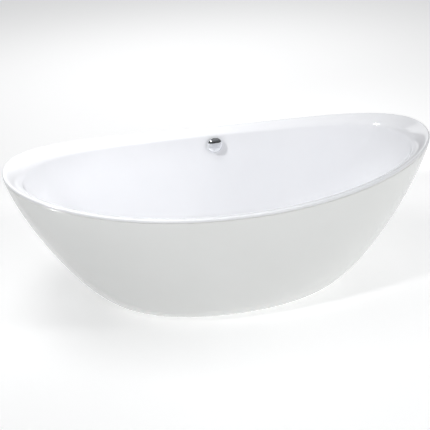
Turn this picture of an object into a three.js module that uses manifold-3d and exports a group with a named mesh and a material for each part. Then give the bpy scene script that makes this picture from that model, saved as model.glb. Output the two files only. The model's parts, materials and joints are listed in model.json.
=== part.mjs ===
// Freestanding oval bathtub with two raised ends: an acrylic basin, a separate outer skirt, a steel foot
// frame under the floor, and a waste whose plug is lifted from a turning overflow knob through a cable.
//
// Millimetres. +Z is up, +X runs along the tub, +Y points to the side that carries the overflow.
// The origin is on the floor under the middle of the tub.

import * as THREE from "three";
import { mergeVertices } from "three/addons/utils/BufferGeometryUtils.js";
import Module from "manifold-3d";

// ---------------------------------------------------------------- driving dimensions

// Rim
const LENGTH = 1700;
const WIDTH = 750;
const RIM_SIDE_HEIGHT = 583; // top of the rim at mid length
const RIM_END_RISE = 90; // how much higher the rim is at both ends
const OUTLINE_POWER = 2.13; // 2 is an ellipse, more is squarer

// Outer skirt
const BASE_LENGTH = 1020;
const BASE_WIDTH = 520;
const SKIRT_WALL = 6;
const SKIRT_GAP = 5; // under the skirt, so that the feet carry the weight
const SKIRT_FLANGE = 24; // turned in at the bottom
// Bezier handles: share of the flare, share of the height.
const SKIRT_SIDE_CURVE = [[0.52, 0.03], [0.88, 0.41]];
const SKIRT_END_CURVE = [[0.34, 0.03], [0.95, 0.69]];

// Basin
const BASIN_WALL = 7;
const LIP_SIDE = 47; // from the outer edge of the rim to the inner wall
const LIP_END = 64;
const LIP_DROP_SIDE = 30; // height over which the lip rolls into the wall
const LIP_DROP_END = 62;
// control points of the lip's section, as shares of its width and its drop
const LIP_LEVEL = 0.2;
const LIP_BEND_SIDE = 0.988;
const LIP_BEND_END = 0.955;
const LIP_BEND_DROP = 0.55;
const LIP_EDGE = 11; // turned down over the skirt
const LIP_RADIUS = 5;
const BEAD = 2.4; // bonding bead between lip and skirt
const FLOOR_LENGTH = 1080;
const FLOOR_WIDTH = 430;
const FLOOR_HEIGHT = 150; // bathing floor above the ground
const FLOOR_FALL = 6; // towards the waste
const WALL_SIDE_CURVE = [[0.55, 0], [0.93, 0.45]];
const WALL_END_CURVE = [[0.42, 0], [0.93, 0.6]];

// Board and frame
const BOARD_THICKNESS = 15;
const BOARD_HOLE = 128;
const BOARD_MARGIN = 40; // inside the edge of the basin floor
const TUBE = 25; // square steel tube
const TUBE_WALL = 2;
const RAIL_LENGTH = 780;
const FOOT_SPACING_X = 680;
const FOOT_SPACING_Y = 280;
const FRAME_SCREW_SPACING = 150;
const BRACKET_SPACING = 520;
const BRACKET_WIDTH = 30;
const SHEET = 3;

// Feet and fasteners
const STUD_RADIUS = 6;
const PAD_RADIUS = 24;
const PAD_HEIGHT = 16;
const STUD_ABOVE_TUBE_BOTTOM = 14;
const NUT_FLATS = 19;
const WELD_NUT_HEIGHT = 10;
const LOCK_NUT_HEIGHT = 7;
const SCREW_RADIUS = 2.2;
const SCREW_HEAD_RADIUS = 4.8;
const SCREW_HEAD_HEIGHT = 3;

// Waste
const DRAIN_HOLE_RADIUS = 25;
const DRAIN_SEAT_RADIUS = 37;
const DRAIN_RECESS = 3;
const DRAIN_RAMP = 9; // from the seat up to the floor
const FLANGE_THICKNESS = 2.6;
const GASKET = 3;
const TAIL_RADIUS = 22;
const TAIL_WALL = 3.5;
const TAIL_LENGTH = 24;
const CHAMBER_RADIUS = 30;
const PLASTIC_WALL = 3;
const NECK_LENGTH = 16;
const SPIGOT_LENGTH = 10;
const SPIGOT_RADIUS = 19;
const PLUG_RADIUS = 29;
const PLUG_THICKNESS = 5;
const STEM_RADIUS = 4;
const LEVER_ARM = 15; // from the pin to the stem
const LEVER_TAIL = 20; // from the pin to the cable
const LEVER_SWING = 42; // degrees
const LEVER_THICKNESS = 6;
const NOSE_RADIUS = 1.6; // of the stem, on the lever
const PIN_RADIUS = 2;

// Trap
const TRAP_CLEARANCE = 8;
const TRAP_RADIUS = 42;
const TRAP_HEIGHT = 32;
const TRAP_NECK = 9;
const OUTLET_RADIUS = 13;
const OUTLET_LENGTH = 190;

// Overflow
const OVERFLOW_DROP = 68; // below the rim
const OVERFLOW_SHIFT = 14; // along the tub, from its middle
const OVERFLOW_HOLE_RADIUS = 27;
const ROSETTE_RADIUS = 31;
const KNOB_RADIUS = 37;
const KNOB_BACK = 9; // from the wall to the back of the knob
const KNOB_HEIGHT = 22;
const KNOB_RIM = 3.4; // straight part of the knob behind its domed front
const HOUSING_DEPTH = 24;
const CRANK_ARM = 10;
const CRANK_SWING = 90; // degrees
const CRANK_THICKNESS = 3;
const CRANK_RISE = 2.5; // above the housing's back wall
const HOSE_RADIUS = 11.5;
const HOSE_WALL = 2.5;
const CABLE_RADIUS = 3;

// Clearances
const GAP = 0.3; // between touching pieces
const RUNNING = 0.3; // radial, around a turning or sliding piece
const WALL_BEND = 2.2; // a flat ring against the curved wall
const GLUE = 0.5; // resin bed over the board

// Mesh fineness
const AROUND = 48;
const ROUND = 18;
const SMALL_ROUND = 12;

// ---------------------------------------------------------------- derived sizes

const halfTube = TUBE / 2;
const seatZ = FLOOR_HEIGHT - FLOOR_FALL - DRAIN_RECESS;
const boardTopLow = FLOOR_HEIGHT - FLOOR_FALL - BASIN_WALL - GLUE;
const boardBottom = boardTopLow - BOARD_THICKNESS;
const frameTop = boardBottom - GAP;
const frameMid = frameTop - halfTube;
const frameBottom = frameTop - TUBE;
const footX = FOOT_SPACING_X / 2;
const footY = FOOT_SPACING_Y / 2;
const flangeTop = SKIRT_GAP + SKIRT_WALL;

const gasketTop = seatZ + GAP;
const flangeUnder = gasketTop + GASKET + GAP;
const neckTop = seatZ - BASIN_WALL - GAP - GASKET - GAP;
const neckBottom = neckTop - NECK_LENGTH;
const trapTop = TRAP_CLEARANCE + TRAP_HEIGHT;
const trapInlet = trapTop + TRAP_NECK;
const chamberBottom = trapInlet + GAP + SPIGOT_LENGTH;
const portZ = chamberBottom + HOSE_RADIUS + 6;
const portEnd = CHAMBER_RADIUS + 24;
const pivotZ = neckBottom - 18;
const pivotX = -LEVER_ARM;
const leverRest = THREE.MathUtils.degToRad(LEVER_SWING / 2);
const crankRest = THREE.MathUtils.degToRad(90 - CRANK_SWING / 2);
const cableBossZ = pivotZ - LEVER_TAIL;
const cableBossEnd = -CHAMBER_RADIUS - 14;

// ---------------------------------------------------------------- finishes

const FINISH = {
  acrylic: new THREE.MeshStandardMaterial({ color: 0xf4f4f5, roughness: 0.12, metalness: 0 }),
  bead: new THREE.MeshStandardMaterial({ color: 0xeeeeec, roughness: 0.35, metalness: 0 }),
  chrome: new THREE.MeshStandardMaterial({ color: 0xd9dadc, roughness: 0.06, metalness: 1 }),
  steel: new THREE.MeshStandardMaterial({ color: 0x9a9da1, roughness: 0.4, metalness: 1 }),
  board: new THREE.MeshStandardMaterial({ color: 0xb69d78, roughness: 0.8, metalness: 0 }),
  plastic: new THREE.MeshStandardMaterial({ color: 0xe6e6e2, roughness: 0.45, metalness: 0 }),
  darkPlastic: new THREE.MeshStandardMaterial({ color: 0x2b2c2e, roughness: 0.55, metalness: 0 }),
  rubber: new THREE.MeshStandardMaterial({ color: 0x1f1f20, roughness: 0.85, metalness: 0 }),
};

// ---------------------------------------------------------------- solids from three.js geometry

const wasm = await Module();
wasm.setup();

function toSolid(geometry) {
  const bare = new THREE.BufferGeometry();
  bare.setAttribute("position", geometry.getAttribute("position"));
  if (geometry.index) bare.setIndex(geometry.index);
  const merged = mergeVertices(bare, 1e-4);
  const vertProperties = new Float32Array(merged.attributes.position.array);
  return new wasm.Manifold(
    new wasm.Mesh({ numProp: 3, vertProperties, triVerts: new Uint32Array(merged.index.array) }),
  );
}

function toGeometry(solid) {
  const mesh = solid.getMesh();
  const geometry = new THREE.BufferGeometry();
  geometry.setAttribute("position", new THREE.BufferAttribute(new Float32Array(mesh.vertProperties), 3));
  geometry.setIndex(new THREE.BufferAttribute(new Uint32Array(mesh.triVerts), 1));
  geometry.computeVertexNormals();
  return geometry;
}

function join(...geometries) {
  return toGeometry(geometries.map(toSolid).reduce((all, next) => all.add(next)));
}

function cut(geometry, ...tools) {
  return toGeometry(tools.map(toSolid).reduce((left, tool) => left.subtract(tool), toSolid(geometry)));
}

// A cylinder along Z.
function rod(radius, bottom, top, sides = ROUND) {
  const geometry = new THREE.CylinderGeometry(radius, radius, top - bottom, sides);
  return geometry.rotateX(Math.PI / 2).translate(0, 0, (bottom + top) / 2);
}

function box(low, high) {
  const size = high.map((value, i) => value - low[i]);
  const middle = high.map((value, i) => (value + low[i]) / 2);
  return new THREE.BoxGeometry(...size).translate(...middle);
}

// A profile of [radius, height] points turned about Z. It runs from axis to axis, or closes on itself.
function turned(profile, sides = ROUND) {
  const points = profile.map(([radius, height]) => new THREE.Vector2(radius, height));
  if (points[0].x > 0) points.push(points[0].clone());
  if (THREE.ShapeUtils.area(points) < 0) points.reverse();
  return new THREE.LatheGeometry(points, sides).rotateX(Math.PI / 2);
}

function ringOf(inner, outer, bottom, top, sides = ROUND) {
  return turned([[inner, bottom], [outer, bottom], [outer, top], [inner, top]], sides);
}

// A quarter arc of [radius, height] points that falls from (0, height) to (radius, 0).
function domeArc(radius, height, steps) {
  return Array.from({ length: steps + 1 }, (_, i) => {
    const a = (Math.PI / 2) * (i / steps);
    return [radius * Math.sin(a), height * Math.cos(a)];
  });
}

// A round tube along a smooth path through the given points.
function pipe(points, radius, wall, steps, sides) {
  const section = new THREE.Shape().absarc(0, 0, radius, 0, 2 * Math.PI, false);
  if (wall) section.holes.push(new THREE.Path().absarc(0, 0, radius - wall, 0, 2 * Math.PI, true));
  const knots = points.map((point) => new THREE.Vector3(...point));
  const extrudePath = new THREE.CatmullRomCurve3(knots, false, "centripetal");
  const geometry = new THREE.ExtrudeGeometry(section, { steps, extrudePath, curveSegments: sides });
  return toGeometry(toSolid(geometry));
}

// ---------------------------------------------------------------- the tub's surfaces

const ANGLES = Array.from({ length: AROUND }, (_, i) => (2 * Math.PI * i) / AROUND);

const mix = (from, to, share) => from + (to - from) * share;

// Unit superellipse.
function outline(angle, power = OUTLINE_POWER) {
  const shape = (value) => Math.sign(value) * Math.abs(value) ** (2 / power);
  return [shape(Math.cos(angle)), shape(Math.sin(angle))];
}

function rimHeight(angle) {
  return RIM_SIDE_HEIGHT + RIM_END_RISE * outline(angle)[0] ** 2;
}

function lipDrop(angle) {
  return mix(LIP_DROP_SIDE, LIP_DROP_END, outline(angle)[0] ** 2);
}

// One level ring with the given half length and half width. Its height may depend on the angle.
function level(halfLength, halfWidth, height, power = OUTLINE_POWER) {
  return ANGLES.map((angle) => {
    const [x, y] = outline(angle, power);
    const z = typeof height === "function" ? height(angle) : height;
    return new THREE.Vector3(x * halfLength, y * halfWidth, z);
  });
}

function bezier([first, second], s) {
  const b1 = 3 * s * (1 - s) ** 2;
  const b2 = 3 * s ** 2 * (1 - s);
  const b3 = s ** 3;
  return [b1 * first[0] + b2 * second[0] + b3, b1 * first[1] + b2 * second[1] + b3];
}

// A point between a low and a high outline, on a Bezier that changes from the sides to the ends.
function flaredPoint(low, high, sideCurve, endCurve, angle, s) {
  const endShare = Math.cos(angle) ** 2;
  const [sideOut, sideUp] = bezier(sideCurve, s);
  const [endOut, endUp] = bezier(endCurve, s);
  const out = mix(sideOut, endOut, endShare);
  const up = mix(sideUp, endUp, endShare);
  const [x, y] = outline(angle);
  return new THREE.Vector3(
    x * mix(low.x, high.x, out),
    y * mix(low.y, high.y, out),
    mix(low.z, high.z(angle), up),
  );
}

function skirtPoint(angle, s) {
  const low = { x: BASE_LENGTH / 2, y: BASE_WIDTH / 2, z: SKIRT_GAP };
  const high = { x: LENGTH / 2, y: WIDTH / 2, z: (a) => rimHeight(a) - LIP_EDGE - BEAD - 2 * GAP };
  return flaredPoint(low, high, SKIRT_SIDE_CURVE, SKIRT_END_CURVE, angle, s);
}

const wallTop = (angle) => rimHeight(angle) - lipDrop(angle);

function wallPoint(angle, s) {
  const low = { x: FLOOR_LENGTH / 2, y: FLOOR_WIDTH / 2, z: FLOOR_HEIGHT };
  const high = { x: LENGTH / 2 - LIP_END, y: WIDTH / 2 - LIP_SIDE, z: wallTop };
  return flaredPoint(low, high, WALL_SIDE_CURVE, WALL_END_CURVE, angle, s);
}

// A ring on the basin floor: share 0 is the edge of the waste recess, 1 the foot of the wall.
function floorRing(share, below = 0) {
  const start = DRAIN_SEAT_RADIUS + DRAIN_RAMP;
  return level(
    mix(start, FLOOR_LENGTH / 2, share),
    mix(start, FLOOR_WIDTH / 2, share),
    FLOOR_HEIGHT - FLOOR_FALL * (1 - share) - below,
    mix(2, OUTLINE_POWER, share),
  );
}

// The crown of the lip, from the rounded outer edge to the top of the inner wall.
function lipRing(s) {
  return ANGLES.map((angle) => {
    const [x, y] = outline(angle);
    const [out, down] = bezier([[LIP_LEVEL, 0], [mix(LIP_BEND_SIDE, LIP_BEND_END, x ** 2), LIP_BEND_DROP]], s);
    const inset = (lip) => mix(LIP_RADIUS, lip, out);
    const height = rimHeight(angle) - lipDrop(angle) * down;
    return new THREE.Vector3(x * (LENGTH / 2 - inset(LIP_END)), y * (WIDTH / 2 - inset(LIP_SIDE)), height);
  });
}

// The rounded outer edge of the lip: turn 0 is its foot, 1 its top.
function lipEdgeRing(turn) {
  const a = (Math.PI / 2) * turn;
  const inset = LIP_RADIUS * (1 - Math.cos(a));
  const below = LIP_RADIUS * (1 - Math.sin(a));
  return level(LENGTH / 2 - inset, WIDTH / 2 - inset, (angle) => rimHeight(angle) - below);
}

// Rings moved by a distance along the surface normal. Each ring's neighbours in the list give its slope.
function offsetRings(rings, distance) {
  return rings.map((ring, k) => {
    const before = rings[Math.max(k - 1, 0)];
    const after = rings[Math.min(k + 1, rings.length - 1)];
    return ring.map((point, j) => {
      const along = ring[(j + 1) % AROUND].clone().sub(ring[(j + AROUND - 1) % AROUND]);
      const across = after[j].clone().sub(before[j]);
      return point.clone().addScaledVector(along.cross(across).normalize(), distance);
    });
  });
}

// A closed body from rings that follow each other round a section and back to the first.
// The section is followed upwards on its outer side and downwards on its inner side.
function swept(rings) {
  const position = new Float32Array(rings.flatMap((ring) => ring.flatMap((point) => point.toArray())));
  const index = [];
  rings.forEach((_, k) => {
    const next = ((k + 1) % rings.length) * AROUND;
    ANGLES.forEach((__, j) => {
      const side = (j + 1) % AROUND;
      const [a, b, c, d] = [k * AROUND + j, k * AROUND + side, next + side, next + j];
      index.push(a, b, c, a, c, d);
    });
  });
  const geometry = new THREE.BufferGeometry();
  geometry.setAttribute("position", new THREE.BufferAttribute(position, 3));
  geometry.setIndex(index);
  geometry.computeVertexNormals();
  return geometry;
}

function steps(count, from = 0, to = 1) {
  return Array.from({ length: count + 1 }, (_, i) => mix(from, to, i / count));
}

// ---------------------------------------------------------------- where the overflow sits

// The wall point on the overflow side at a given height, and the normal that faces the bather.
function wallAtHeight(z) {
  const angle = Math.PI / 2;
  let [low, high] = [0, 1];
  while (high - low > 1e-6) {
    const s = (low + high) / 2;
    if (wallPoint(angle, s).z < z) low = s;
    else high = s;
  }
  const step = 0.01;
  const up = wallPoint(angle, low + step).sub(wallPoint(angle, low - step));
  return { point: wallPoint(angle, low), normal: new THREE.Vector3(0, -up.z, up.y).normalize() };
}

function skirtYAtHeight(z) {
  let [low, high] = [0, 1];
  while (high - low > 1e-6) {
    const s = (low + high) / 2;
    if (skirtPoint(Math.PI / 2, s).z < z) low = s;
    else high = s;
  }
  return skirtPoint(Math.PI / 2, low).y;
}

const overflow = wallAtHeight(RIM_SIDE_HEIGHT - OVERFLOW_DROP);
overflow.point.x = OVERFLOW_SHIFT;
const overflowTurn = new THREE.Quaternion().setFromUnitVectors(new THREE.Vector3(0, 0, 1), overflow.normal);

// From the overflow's own frame, where +Z faces the bather, to the tub's frame.
function fromOverflow(x, y, z) {
  return new THREE.Vector3(x, y, z).applyQuaternion(overflowTurn).add(overflow.point);
}

// ---------------------------------------------------------------- shells

function makeBasin() {
  const floor = [
    level(DRAIN_SEAT_RADIUS, DRAIN_SEAT_RADIUS, seatZ, 2),
    floorRing(0),
    ...steps(2, 1 / 3, 1).map((share) => floorRing(share)),
  ];
  const wall = steps(6, 1 / 7, 1).map((s) => ANGLES.map((angle) => wallPoint(angle, s)));
  const lip = steps(4, 1, 0).slice(1).map((s) => lipRing(s));
  const face = [level(DRAIN_HOLE_RADIUS, DRAIN_HOLE_RADIUS, seatZ, 2), ...floor, ...wall, ...lip];
  const edge = [1 / 2, 0].map((turn) => lipEdgeRing(turn));
  const foot = [0, BASIN_WALL].map((inset) =>
    level(LENGTH / 2 - inset, WIDTH / 2 - inset, (angle) => rimHeight(angle) - LIP_EDGE),
  );
  const back = offsetRings(face, BASIN_WALL).slice(0, -1).reverse();
  const body = swept([...face, ...edge, ...foot, ...back].reverse());
  const hole = rod(OVERFLOW_HOLE_RADIUS, -3 * BASIN_WALL, 3 * BASIN_WALL)
    .applyQuaternion(overflowTurn)
    .translate(...overflow.point.toArray());
  return cut(body, hole);
}

function makeSkirt() {
  const outer = steps(9).map((s) => ANGLES.map((angle) => skirtPoint(angle, s)));
  const inner = offsetRings(outer, -SKIRT_WALL).reverse();
  inner[0] = inner[0].map((point, j) => point.setZ(outer.at(-1)[j].z));
  const flange = [flangeTop, SKIRT_GAP].map((z) =>
    level(BASE_LENGTH / 2 - SKIRT_FLANGE, BASE_WIDTH / 2 - SKIRT_FLANGE, z),
  );
  const holes = bracketPlaces().map(([x, , side]) =>
    rod(SCREW_RADIUS + GAP, 0, 3 * SKIRT_WALL, SMALL_ROUND).translate(x, side * bracketScrewY(), 0),
  );
  return cut(swept([...outer, ...inner, ...flange]), ...holes);
}

function makeBead() {
  const top = (angle) => rimHeight(angle) - LIP_EDGE - GAP;
  const bottom = (angle) => top(angle) - BEAD;
  return swept([
    level(LENGTH / 2, WIDTH / 2, bottom),
    level(LENGTH / 2, WIDTH / 2, top),
    level(LENGTH / 2 - SKIRT_WALL, WIDTH / 2 - SKIRT_WALL, top),
    level(LENGTH / 2 - SKIRT_WALL, WIDTH / 2 - SKIRT_WALL, bottom),
  ]);
}

// ---------------------------------------------------------------- board and frame

const frameScrewPlaces = () =>
  [-1, 1].flatMap((x) => [-1, 1].map((y) => [x * footX, (y * FRAME_SCREW_SPACING) / 2]));

function makeBoard() {
  const rampEnd = DRAIN_SEAT_RADIUS + DRAIN_RAMP;
  const edge = 1 - BOARD_MARGIN / (FLOOR_WIDTH / 2 - rampEnd);
  const top = steps(2, 0, edge).map((at) => floorRing(at, BASIN_WALL + GLUE));
  const bottom = [edge, 0].map((at) => floorRing(at).map((point) => point.setZ(boardBottom)));
  const pilotTop = boardBottom + BOARD_THICKNESS - 2;
  const pilots = frameScrewPlaces().map(([x, y]) =>
    rod(SCREW_RADIUS + GAP, boardBottom - 1, pilotTop, SMALL_ROUND).translate(x, y, 0),
  );
  const wasteHole = rod(BOARD_HOLE / 2, boardBottom - 1, FLOOR_HEIGHT, 32);
  return cut(swept([...top, ...bottom].reverse()), wasteHole, ...pilots);
}

// A square steel tube along X, centred on the origin.
function squareTube(length) {
  const inside = halfTube - TUBE_WALL;
  return cut(
    box([-length / 2, -halfTube, -halfTube], [length / 2, halfTube, halfTube]),
    box([-length, -inside, -inside], [length, inside, inside]),
  );
}

function makeRail(side) {
  const holes = [-1, 1].map((x) => rod(STUD_RADIUS + 1, -TUBE, TUBE, SMALL_ROUND).translate(x * footX, 0, 0));
  return cut(squareTube(RAIL_LENGTH), ...holes).translate(0, side * footY, frameMid);
}

function makeCrossbar(end) {
  const length = FOOT_SPACING_Y - TUBE - 2 * GAP;
  const bar = squareTube(length).rotateZ(Math.PI / 2);
  const holes = [-1, 1].map((y) =>
    rod(SCREW_RADIUS + GAP, -TUBE, TUBE, SMALL_ROUND).translate(0, (y * FRAME_SCREW_SPACING) / 2, 0),
  );
  return cut(bar, ...holes).translate(end * footX, 0, frameMid);
}

// A pan-head screw whose head rests at z = 0 and whose shank runs up +Z.
function screw(shank) {
  return turned(
    [
      [0, -SCREW_HEAD_HEIGHT],
      [SCREW_HEAD_RADIUS * 0.7, -SCREW_HEAD_HEIGHT],
      [SCREW_HEAD_RADIUS, -SCREW_HEAD_HEIGHT * 0.4],
      [SCREW_HEAD_RADIUS, 0],
      [SCREW_RADIUS, 0],
      [SCREW_RADIUS, shank - SCREW_RADIUS],
      [0, shank],
    ],
    SMALL_ROUND,
  );
}

const frameScrewLength = () => TUBE + BOARD_THICKNESS - 5;

// ---------------------------------------------------------------- skirt brackets

function bracketPlaces() {
  return [-1, 1].flatMap((x) => [-1, 1].map((side) => [(x * BRACKET_SPACING) / 2, side * footY, side]));
}

// The lowest skirt ring at the outer end of a bracket, which is where the flange is nearest to the rail.
function skirtBaseY(x) {
  return (BASE_WIDTH / 2) * (1 - (x / (BASE_LENGTH / 2)) ** OUTLINE_POWER) ** (1 / OUTLINE_POWER);
}

const bracketTabEnd = () => skirtBaseY((BRACKET_SPACING + BRACKET_WIDTH) / 2) - SKIRT_WALL;
const bracketScrewY = () => bracketTabEnd() - SKIRT_FLANGE / 3;

// A bent strip: an arm along the rail's outer side, a drop, and a tab on the skirt's flange.
function makeBracket([x, , side]) {
  const railFace = footY + halfTube + GAP;
  const tabEnd = bracketTabEnd();
  const legOut = bracketScrewY() - SCREW_HEAD_RADIUS - 2;
  const tab = flangeTop + GAP;
  const armTop = frameMid + SHEET / 2;
  const points = [
    [railFace, frameTop],
    [railFace + SHEET, frameTop],
    [railFace + SHEET, armTop],
    [legOut, armTop],
    [legOut, tab + SHEET],
    [tabEnd, tab + SHEET],
    [tabEnd, tab],
    [legOut - SHEET, tab],
    [legOut - SHEET, armTop - SHEET],
    [railFace, armTop - SHEET],
  ];
  const shape = new THREE.Shape(points.map(([y, z]) => new THREE.Vector2(y, z)));
  const strip = new THREE.ExtrudeGeometry(shape, { depth: BRACKET_WIDTH, bevelEnabled: false });
  strip.translate(0, 0, -BRACKET_WIDTH / 2).rotateX(Math.PI / 2).rotateZ(Math.PI / 2);
  const hole = rod(SCREW_RADIUS + GAP, 0, 4 * SKIRT_WALL, SMALL_ROUND).translate(0, bracketScrewY(), 0);
  const turn = side > 0 ? 0 : Math.PI;
  return cut(strip, hole).rotateZ(turn).translate(x, 0, 0);
}

// ---------------------------------------------------------------- feet

function makePad() {
  return turned([
    [0, 0],
    [PAD_RADIUS, 0],
    [PAD_RADIUS, PAD_HEIGHT * 0.3],
    [PAD_RADIUS * 0.5, PAD_HEIGHT],
    [STUD_RADIUS + GAP, PAD_HEIGHT],
    [STUD_RADIUS + GAP, PAD_HEIGHT * 0.4],
    [0, PAD_HEIGHT * 0.4],
  ]);
}

function makeStud() {
  const bottom = PAD_HEIGHT * 0.4 + GAP;
  const stud = rod(STUD_RADIUS, bottom, frameBottom + STUD_ABOVE_TUBE_BOTTOM, SMALL_ROUND);
  const collar = rod(NUT_FLATS / Math.sqrt(3) - 1, PAD_HEIGHT + GAP, PAD_HEIGHT + GAP + LOCK_NUT_HEIGHT, 6);
  return join(stud, collar);
}

function footNut(top, height) {
  const hex = rod(NUT_FLATS / Math.sqrt(3), top - height, top, 6);
  return cut(hex, rod(STUD_RADIUS + RUNNING, top - height - 1, top + 1, SMALL_ROUND));
}

const weldNutTop = frameBottom - GAP;
const lockNutTop = weldNutTop - WELD_NUT_HEIGHT - GAP;

// ---------------------------------------------------------------- waste

function makeDrainFlange() {
  const inner = TAIL_RADIUS - TAIL_WALL;
  const shell = turned([
    [inner, flangeUnder - TAIL_LENGTH],
    [TAIL_RADIUS, flangeUnder - TAIL_LENGTH],
    [TAIL_RADIUS, flangeUnder],
    [DRAIN_SEAT_RADIUS - 2, flangeUnder],
    [DRAIN_SEAT_RADIUS - 2, flangeUnder + FLANGE_THICKNESS * 0.4],
    [DRAIN_SEAT_RADIUS - 5, flangeUnder + FLANGE_THICKNESS],
    [inner + 3, flangeUnder + FLANGE_THICKNESS],
    [inner, flangeUnder + FLANGE_THICKNESS * 0.3],
  ]);
  const crossTop = flangeUnder - TAIL_LENGTH / 3;
  const crossBottom = crossTop - 6;
  const reach = inner + TAIL_WALL / 2;
  const spokes = [0, 1].map((i) =>
    box([-reach, -1.5, crossBottom], [reach, 1.5, crossTop]).rotateZ((i * Math.PI) / 2),
  );
  const hub = rod(STEM_RADIUS + 4, crossBottom, crossTop, SMALL_ROUND);
  const bore = rod(STEM_RADIUS + RUNNING, crossBottom - 1, crossTop + 1, SMALL_ROUND);
  return cut(join(shell, ...spokes, hub), bore);
}

function makeWasteBody() {
  const inside = CHAMBER_RADIUS - PLASTIC_WALL;
  const neckOuter = TAIL_RADIUS + GAP + PLASTIC_WALL;
  const outer = turned([
    [0, trapInlet + GAP],
    [SPIGOT_RADIUS, trapInlet + GAP],
    [SPIGOT_RADIUS, chamberBottom - PLASTIC_WALL],
    [CHAMBER_RADIUS, chamberBottom + 4],
    [CHAMBER_RADIUS, neckBottom],
    [neckOuter, neckBottom + 2],
    [neckOuter, neckTop - 4],
    [DRAIN_SEAT_RADIUS, neckTop - 4],
    [DRAIN_SEAT_RADIUS, neckTop],
    [0, neckTop],
  ]);
  const hollow = turned([
    [0, trapInlet],
    [SPIGOT_RADIUS - PLASTIC_WALL, trapInlet],
    [SPIGOT_RADIUS - PLASTIC_WALL, chamberBottom],
    [inside, chamberBottom + 7],
    [inside, neckBottom - PLASTIC_WALL],
    [TAIL_RADIUS + GAP, neckBottom],
    [TAIL_RADIUS + GAP, neckTop + 1],
    [0, neckTop + 1],
  ]);
  const alongY = (geometry) => geometry.rotateX(-Math.PI / 2).translate(0, 0, portZ);
  const port = alongY(rod(HOSE_RADIUS, 0, portEnd));
  const portHollow = alongY(rod(HOSE_RADIUS - HOSE_WALL, 0, portEnd + 1));
  const alongX = (geometry) => geometry.rotateY(-Math.PI / 2).translate(0, 0, cableBossZ);
  const boss = alongX(rod(CABLE_RADIUS + 3.5, 0, -cableBossEnd, SMALL_ROUND));
  const bossHollow = alongX(rod(CABLE_RADIUS + 2 * GAP, 0, 1 - cableBossEnd, SMALL_ROUND));
  const pinHole = rod(PIN_RADIUS + GAP, -CHAMBER_RADIUS, CHAMBER_RADIUS, SMALL_ROUND)
    .rotateX(Math.PI / 2)
    .translate(pivotX, 0, pivotZ);
  return cut(join(outer, port, boss), hollow, portHollow, bossHollow, pinHole);
}

function makeDrainGasket(bottom) {
  return ringOf(DRAIN_HOLE_RADIUS, DRAIN_SEAT_RADIUS - 3, bottom, bottom + GASKET);
}

const plugBottom = flangeUnder + FLANGE_THICKNESS + GAP + 2 + GAP;

function makePlug() {
  const middle = plugBottom + PLUG_THICKNESS / 2;
  const dome = domeArc(PLUG_RADIUS, PLUG_THICKNESS / 2, 5).map(([r, z]) => [r, middle + z]);
  const cap = turned([[0, plugBottom], [PLUG_RADIUS, plugBottom], ...dome.reverse()]);
  return cut(cap, rod(STEM_RADIUS - 1 + GAP, plugBottom - 1, middle, SMALL_ROUND));
}

function makeStem() {
  const seat = plugBottom - GAP;
  const armTop = LEVER_THICKNESS / 2 / Math.cos(leverRest) + NOSE_RADIUS * Math.tan(leverRest);
  const bottom = pivotZ - LEVER_ARM * Math.sin(leverRest) + armTop + GAP;
  return join(
    rod(NOSE_RADIUS, bottom, bottom + 6, SMALL_ROUND),
    rod(STEM_RADIUS, bottom + 4, seat, SMALL_ROUND),
    rod(STEM_RADIUS - 1, bottom + 5, seat + PLUG_THICKNESS * 0.4, SMALL_ROUND),
  );
}

function makePlugSeal() {
  return ringOf(STEM_RADIUS + GAP, TAIL_RADIUS + 3, plugBottom - GAP - 2, plugBottom - GAP);
}

// A rocker in the plane y = 0 with a hub on the pin, an arm under the stem and a tail on the cable.
// The plug is shut when the rocker stands half its swing below level.
function makeLever() {
  const half = LEVER_THICKNESS / 2;
  const bar = (length) => {
    const shape = new THREE.Shape();
    shape.moveTo(0, -half);
    shape.absarc(length, 0, half, -Math.PI / 2, Math.PI / 2, false);
    shape.lineTo(0, half);
    const flat = { depth: LEVER_THICKNESS, bevelEnabled: false, curveSegments: 4 };
    return new THREE.ExtrudeGeometry(shape, flat).translate(0, 0, -half);
  };
  const hub = rod(half + PIN_RADIUS, -half, half, SMALL_ROUND);
  const bore = rod(PIN_RADIUS + RUNNING, -LEVER_THICKNESS, LEVER_THICKNESS, SMALL_ROUND);
  const flat = cut(join(bar(LEVER_ARM), bar(LEVER_TAIL).rotateZ(-Math.PI / 2), hub), bore);
  return flat.rotateX(Math.PI / 2).rotateY(leverRest).translate(pivotX, 0, pivotZ);
}

function makeLeverPin() {
  const half = Math.sqrt(CHAMBER_RADIUS ** 2 - LEVER_ARM ** 2) - 1;
  return rod(PIN_RADIUS, -half, half, SMALL_ROUND).rotateX(Math.PI / 2).translate(pivotX, 0, pivotZ);
}

// ---------------------------------------------------------------- trap

const outletZ = TRAP_CLEARANCE + TRAP_HEIGHT / 2;
const outletStart = TRAP_RADIUS + 22;

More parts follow.
